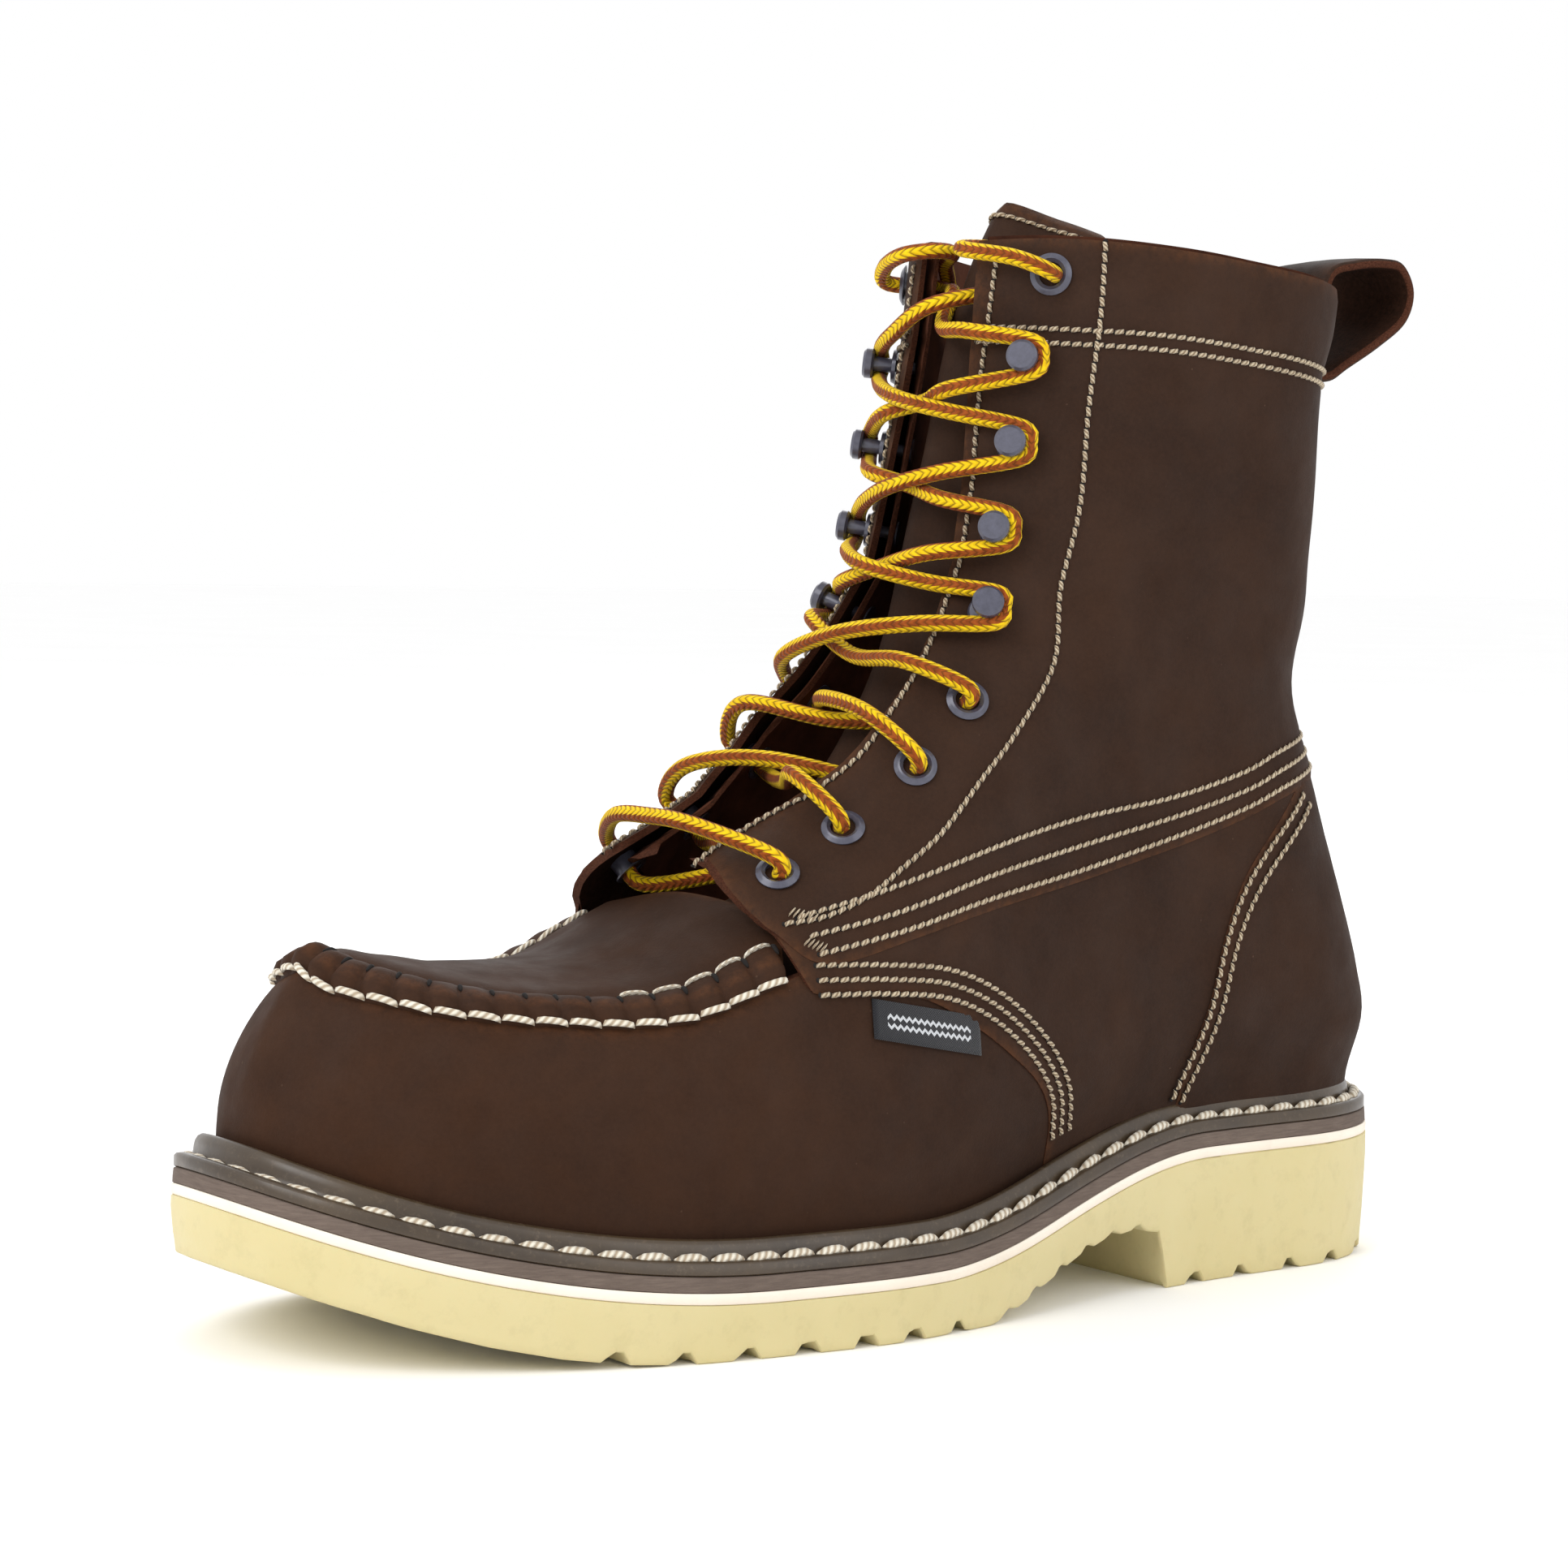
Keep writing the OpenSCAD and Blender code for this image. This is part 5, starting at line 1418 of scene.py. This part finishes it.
def make_moc_seam():
    """The raised roll of the seam, drawn in at every stitch, with its heavy thread and near-black tubes of
    painted shade in its slots.
    """
    plan, outward, height, s = seam_samples()
    count = round(s[-1] / MOC_PITCH)
    pitch = s[-1] / count
    phase = np.abs((s / pitch + 0.5) % 1 - 0.5) * pitch
    pinch = np.exp(-(phase / 0.85) ** 2)
    swell = np.cos(2 * math.pi * s / pitch)
    vertices, worn = [], []
    for a, h in SEAM_ROLL:
        raised = 1.0 if h > 0 else 0.0
        shift = raised * (0.75 * pinch - 0.25 * (1 - swell) * (a < 0)) * np.clip((4 - a) / 4, 0, 1)
        lift = raised * h * (-0.20 * pinch - 0.05 * swell)
        p = plan - outward * (a + shift)[:, None]
        base = height if a < 0 else plug_height(p[:, 0], p[:, 1], 0.0)
        base = height + (base - height) * np.clip(a / 5, 0, 1)
        vertices.append(np.column_stack([p, base + h + lift]))
        worn.append(np.full(len(s), 0.55 if 0 < a < 3 and h > 3 else 0.1) * (1 - 0.6 * pinch))
    m = len(SEAM_ROLL)
    stack = np.stack(vertices, axis=1).reshape(-1, 3)
    faces = band_faces(len(s), m) + end_faces(len(s), m)
    roll = object_from("moc_seam_roll", stack, faces, LEATHER_SET[:1], rub=np.stack(worn, axis=1).ravel())
    split_by_angle(roll, 70)
    settle(roll)
    line = np.column_stack([plan + outward * 1.25, height + 0.15])
    normals = np.column_stack([outward * 0.85, np.full(len(s), 0.5)])
    stitches("thread_moc_seam", line, normals, pitch, MOC_THREAD, HEAVY_THREAD, gap=0.02, holes=False,
             slant=-0.3, lift=0.25, sides=8)
    within = plan - outward * MOC_WIDTH
    line = np.column_stack([within, plug_height(within[:, 0], within[:, 1], 0.0) + 1.25])
    normals = np.column_stack([-outward * 0.45, np.full(len(s), 0.9)])
    low, high = (int(np.argmin(np.abs(s - k * pitch))) for k in (MOC_INNER_COUNT, count - MOC_INNER_COUNT))
    for word, part in (("first", slice(0, low + 1)), ("last", slice(high, None))):
        stitches("thread_moc_inner_" + word, line[part], normals[part], pitch, MOC_INNER_THREAD,
                 HEAVY_THREAD, gap=0.04, holes=False, slant=0.3, sides=8)
    # Near-black tubes across the roll at each stitch: painted shade in the drawn-in slots.
    points = []
    for k in range(count + 1):
        i = int(np.argmin(np.abs(s - k * pitch)))
        for a in np.linspace(3.0, MOC_WIDTH, 8):
            p = plan[i] - outward[i] * a
            base = height[i] + (float(plug_height(p[:1], p[1:], 0.0)[0]) - height[i]) * min(1, a / 5)
            h = np.interp(a, [q[0] for q in SEAM_ROLL[:13]], [q[1] for q in SEAM_ROLL[:13]]) * 0.8
            points.append((k, [*p, base + h + 0.05]))
    vertices, faces = [], []
    for k in range(count + 1):
        line = np.array([p for j, p in points if j == k])
        v, f, _ = tube(line, [0.15, 0.38, 0.48, 0.5, 0.5, 0.48, 0.38, 0.15], 8)
        faces += [tuple(i + len(vertices) for i in face) for face in f]
        vertices += list(v)
    slots = object_from("moc_seam_slot_shade", vertices, faces, [HOLE_SHADE], fix=False)
    weld(slots)
    settle(slots)


# ---------------------------------------------------------------- back strip and pull loop

def make_backstay():
    z = np.linspace(112, 229.5, 70)
    w = np.array([-7.5, -7.3, -6.6, -5.5, -4, -2, 0, 2, 4, 5.5, 6.6, 7.3, 7.5])
    lift = np.array([0.0, 0.6, 0.95, 1.0, 1.05, 1.1, 1.1, 1.1, 1.05, 1.0, 0.95, 0.6, 0.0])
    low = np.clip((z - 112) / 2, 0, 1)
    rows = []
    for side in (1, 0):
        for k in range(len(w)):
            sign = 1 if w[k] >= 0 else -1
            depth = SKIN_OUT - lift[k] * low if side else np.full(len(z), -0.5)
            rows.append(shaft_chart(heel_middle_u(z) - abs(w[k]), z, depth + (0.1 if side else 0), sign))
    n, m = len(z), len(w)
    grid = np.stack(rows, axis=1)
    loop = list(range(m)) + [m + k for k in reversed(range(m))]
    order = grid[:, loop].reshape(-1, 3)
    c = len(loop)
    faces = band_faces(n, c) + end_faces(n, c)
    worn = np.tile(np.array([0.5 if abs(v) > 6.5 else 0.0 for v in w] + [0.0] * m), n)
    thing = object_from("backstay_leather", order, faces, [DARK_LEATHER], rub=worn)
    split_by_angle(thing, 60)
    settle(thing, replaces=["backstay"])
    for sign, word in ((1, "lateral"), (-1, "medial")):
        line_z = np.linspace(119, 226, 108)
        flat = np.column_stack([heel_middle_u(line_z) - 5.2, line_z])
        points, normals = chart_line(shaft_chart, flat, sign, SKIN_OUT - 0.85)
        fine_seam("thread_backstay_" + word, points, normals)


LOOP_LINE = [[129.1, 210], [130.9, 222], [133.5, 233], [141.9, 236], [151.1, 237], [157, 236],
             [160.4, 230], [157.9, 223], [149.5, 217], [139.4, 211.5], [133.5, 208.4]]
LOOP_W, LOOP_T, LOOP_X = 28, 2.2, 1.5


def make_pull_loop():
    ring = smooth_line(LOOP_LINE + LOOP_LINE[:3], 1.0)
    start = len(smooth_line(LOOP_LINE[:2], 1.0))
    p = np.array(LOOP_LINE[1], float)
    ahead = [i for i in range(start + 20, len(ring)) if np.linalg.norm(ring[i] - p) < 1.2]
    ring = ring[int(np.argmin(np.linalg.norm(ring[:start + 5] - p, axis=1))):ahead[0]]
    along = np.roll(ring, -1, axis=0) - np.roll(ring, 1, axis=0)
    along /= np.linalg.norm(along, axis=1)[:, None]
    outward = np.column_stack([-along[:, 1], along[:, 0]])
    if np.mean(np.sum(outward * (ring - ring.mean(0)), axis=1)) < 0:
        outward = -outward
    half, t = LOOP_W / 2, LOOP_T / 2
    profile = [(-half, -t * 0.5), (-half, t * 0.5), (-half + 0.5, t * 0.95), (-half + 1.2, t), (-6, t * 1.1),
               (0, t * 1.15), (6, t * 1.1), (half - 1.2, t), (half - 0.5, t * 0.95), (half, t * 0.5),
               (half, -t * 0.5), (half - 0.5, -t), (6, -t), (0, -t), (-6, -t), (-half + 0.5, -t)]
    m, n = len(profile), len(ring)
    vertices = []
    curl = np.sin(np.linspace(0, math.pi, n))
    for i in range(n):
        for x, h in profile:
            dish = 0.5 * curl[i] * (abs(x) / half) ** 2
            y, z = ring[i] + outward[i] * (h - dish)
            vertices.append((LOOP_X + x * (1 - 0.03 * curl[i]), y, z))
    faces = band_faces(n, m, closed=True)
    slots = [1 if k in (0, 9, 10, 15) else 2 if k > 10 else 0 for _ in range(n) for k in range(m)]
    worn = np.tile(np.array([0.4 if abs(x) > half - 1.3 and h > 0 else 0.0 for x, h in profile]), n)
    thing = object_from("pull_loop_strap", vertices, faces, [DARK_LEATHER, RAW, FLESH], slots, rub=worn)
    split_by_angle(thing, 50)
    settle(thing, replaces=["pull_loop"])


# ---------------------------------------------------------------- tongue

TONGUE_LINE = [[-40, 84], [-25, 90.5], [-13, 100], [-4.5, 112], [4.5, 126], [13, 143], [18.5, 159.5],
               [22.5, 178], [26.5, 197], [32, 217], [38.5, 233], [44, 245.5]]
TONGUE_HALF = [19, 21, 23, 25, 26, 26.5, 26.5, 26, 25, 23.5, 22, 20]
TONGUE_SAG, TONGUE_BULGE = 12, 5.5


def tongue_frame():
    rows = smooth_line([[*p, w] for p, w in zip(TONGUE_LINE, TONGUE_HALF)], 2.0)
    line, half = rows[:, :2], rows[:, 2]
    along = np.gradient(line, axis=0)
    along /= np.linalg.norm(along, axis=1)[:, None]
    normal = np.column_stack([-along[:, 1], along[:, 0]])
    s = running_length(line)
    left = s[-1] - s
    corner = np.sqrt(np.clip(1 - np.clip(1 - left / 9, 0, 1) ** 2, 0, 1))
    half = half * (0.72 + 0.28 * corner)
    return line, normal, half, s


def tongue_point(line, normal, half, u, depth):
    t = np.minimum(1, np.abs(u) / 0.6)
    p = line - normal * (depth + TONGUE_SAG * u * u + TONGUE_BULGE * t * t * (2 - t * t))[:, None]
    return np.column_stack([SHAFT_MIDDLE + u * half, p])


def tongue_sheet(name, outer, inner, inset, materials, node, wobble):
    """Closed arched sheet. outer and inner give depths from a place along and across the tongue."""
    line, normal, half, s = tongue_frame()
    us = np.sin(np.linspace(-math.pi / 2, math.pi / 2, 27)) * (1 - inset)
    n, m = len(line), len(us)
    columns = []
    for layer in (outer, inner):
        for u in us:
            depth = layer(s, np.full(n, u)) + wobble(s, u)
            columns.append(tongue_point(line, normal, half, np.full(n, u), depth))
    grid = np.stack(columns, axis=1)
    loop = list(range(m)) + [m + k for k in reversed(range(m))]
    order = grid[:, loop].reshape(-1, 3)
    c = len(loop)
    faces = band_faces(n, c) + end_faces(n, c)
    slots = [0 if k < m - 1 else 2 if m <= k < c - 1 else 1 for i in range(n - 1) for k in range(c)] + [1, 1]
    worn = np.zeros((n, c))
    worn[-2:, :m] = 0.6
    worn[:, [0, m - 1]] = 0.5
    thing = object_from(name, order, faces, materials, slots, rub=worn.ravel())
    split_by_angle(thing, 60)
    return settle(thing, "tongue", replaces=[node])


def make_tongue():
    line, normal, half, s = tongue_frame()
    total = s[-1]

    def wobble(along, u):
        soft = 0.5 * np.sin(along / 9.0 + 2.5 * u) * np.clip((total - along) / 30, 0, 1)
        return soft - 0.8 * np.exp(-((along - total + 14) / 8) ** 2) * (1 - u * u)

    def top_pinch(along, amount):
        return amount * np.clip(1 - (total - along) / 5, 0, 1) ** 2

    tongue_sheet("tongue_face", lambda a, u: top_pinch(a, 1.2), lambda a, u: 1.6 + top_pinch(a, 0.6), 0,
                 [LEATHER, RAW, FLESH], "tongue_leather", wobble)
    foam = tongue_sheet("tongue_padding", lambda a, u: 2.1 + top_pinch(a, 1.0),
                        lambda a, u: 5.3 - 2.2 * np.abs(u) ** 3 - top_pinch(a, 1.6), 0.06, [FOAM, FOAM, FOAM],
                        "tongue_foam", wobble)
    tongue_sheet("tongue_back", lambda a, u: 5.5 - 2.2 * np.abs(u) ** 3 - top_pinch(a, 2.2),
                 lambda a, u: 6.5 - 2.2 * np.abs(u) ** 3 - top_pinch(a, 2.2), 0.02,
                 [RED_LINING_SHADED, RAW, RED_LINING_SHADED], "tongue_lining", wobble)
    k = int(np.argmin(np.abs(s - (total - 3.6))))
    us = np.linspace(-0.86, 0.86, 60)
    points, normals = [], []
    for u in us:
        row = tongue_point(line, normal, half, np.full(len(s), u), np.full(len(s), -0.05) + wobble(s, u)
                           + top_pinch(s, 1.2))
        points.append(row[k])
        normals.append((0.55 * u, *normal[k]))
    fine_seam("thread_tongue_top", points, normals, body="tongue")


# ---------------------------------------------------------------- woven tag

TAG_LONG, TAG_WIDE = 29, 8.4


def make_tag():
    """A folded woven strip caught under the quarter's edge."""
    long_n, wide_n = 50, 14
    corners = np.array([(-25.5, 63.4), (4.2, 57.8), (4.2, 66.2), (-25.5, 71.8)])
    a, b = np.meshgrid(np.linspace(0, 1, long_n), np.linspace(0, 1, wide_n), indexing="ij")
    a, b = a.ravel(), b.ravel()
    low = corners[0] + (corners[1] - corners[0]) * a[:, None]
    high = corners[3] + (corners[2] - corners[3]) * a[:, None]
    flat = low + (high - low) * b[:, None]
    flat[:, 0] = TOE_QUARTER + flat[:, 0] - TOE_TURN_Y
    rim = np.minimum(np.minimum(a, 1 - a) * TAG_LONG, b * TAG_WIDE)
    lift = -0.75 - 0.25 * np.sin(a * math.pi) * (1 - b) + 0.35 * (1 - np.clip(rim / 0.5, 0, 1)) ** 2
    front = vamp_chart(flat[:, 0], flat[:, 1], lift)
    back = vamp_chart(flat[:, 0], flat[:, 1], np.full(len(a), -0.1))
    n = len(a)
    faces = []
    for i in range(long_n - 1):
        for j in range(wide_n - 1):
            k = i * wide_n + j
            faces.append((k, k + wide_n, k + wide_n + 1, k + 1))
            faces.append((n + k, n + k + 1, n + k + wide_n + 1, n + k + wide_n))
    rim_order = ([i * wide_n for i in range(long_n)] + [(long_n - 1) * wide_n + j for j in range(1, wide_n)]
                 + [i * wide_n + wide_n - 1 for i in range(long_n - 2, -1, -1)]
                 + [j for j in range(wide_n - 2, 0, -1)])
    count = len(rim_order)
    faces += [(rim_order[k], n + rim_order[k], n + rim_order[(k + 1) % count], rim_order[(k + 1) % count])
              for k in range(count)]
    uv = np.column_stack([a * TAG_LONG, b * TAG_WIDE])
    tag = object_from("woven_tag_strip", np.vstack([front, back]), faces, [TAG], uv=np.vstack([uv, uv]))
    split_by_angle(tag, 60)
    settle(tag, replaces=["label_tag"])


def make_tacks():
    """Short dense bar tacks where the seams start at the foot of each flap."""
    for sign, word in ((1, "lateral"), (-1, "medial")):
        for k, (a, b) in enumerate((((-39.8, 89.6), (-35, 88.2)), ((-39, 83.8), (-35.2, 82.2)))):
            flat = shaft_u(*smooth_line([a, b], 0.5).T)
            points, normals = chart_line(shaft_chart, flat, sign, np.full(len(flat), SKIN_OUT - 0.1))
            stitches("tack_%d_%s" % (k + 1, word), points, normals, 1.0, 1.0, FINE_THREAD, gap=-0.2,
                     holes=False, slant=1.1)


make_tacks()
make_vamp()
make_plug()
make_moc_seam()
make_backstay()
make_pull_loop()
make_tongue()
make_tag()

# ---------------------------------------------------------------- CAD nodes that stay, floor, end

KEPT = {"toe_cap": STEEL, "shank": STEEL, "toe_cap_edge": BLACK_RUBBER, "heel_counter": COUNTER,
        "bottom_filler": CORK, "insole_board": BOARD, "footbed": FOOTBED, "vamp_lining": GREY_LINING}
for kept_word in ("lateral", "medial"):
    for kind in ("eyelets_", "eyelet_washers_", "speed_hooks_"):
        KEPT[kind + kept_word] = ENAMEL
for kept_name, kept_material in KEPT.items():
    for material_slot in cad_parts[kept_name].material_slots:
        material_slot.material = kept_material


def make_floor():
    mesh = bpy.data.meshes.new("floor")
    reach = 12
    mesh.from_pydata([(-reach, -reach, 0), (reach, -reach, 0), (reach, reach, 0), (-reach, reach, 0)], [],
                     [(0, 1, 2, 3)])
    floor = bpy.data.objects.new("floor", mesh)
    bpy.context.scene.collection.objects.link(floor)
    paper = plain_material("floor_paper", srgb(255, 255, 255), srgb(253, 253, 253), 90, 0.8, 0.05)
    mesh.materials.append(paper)


make_floor()
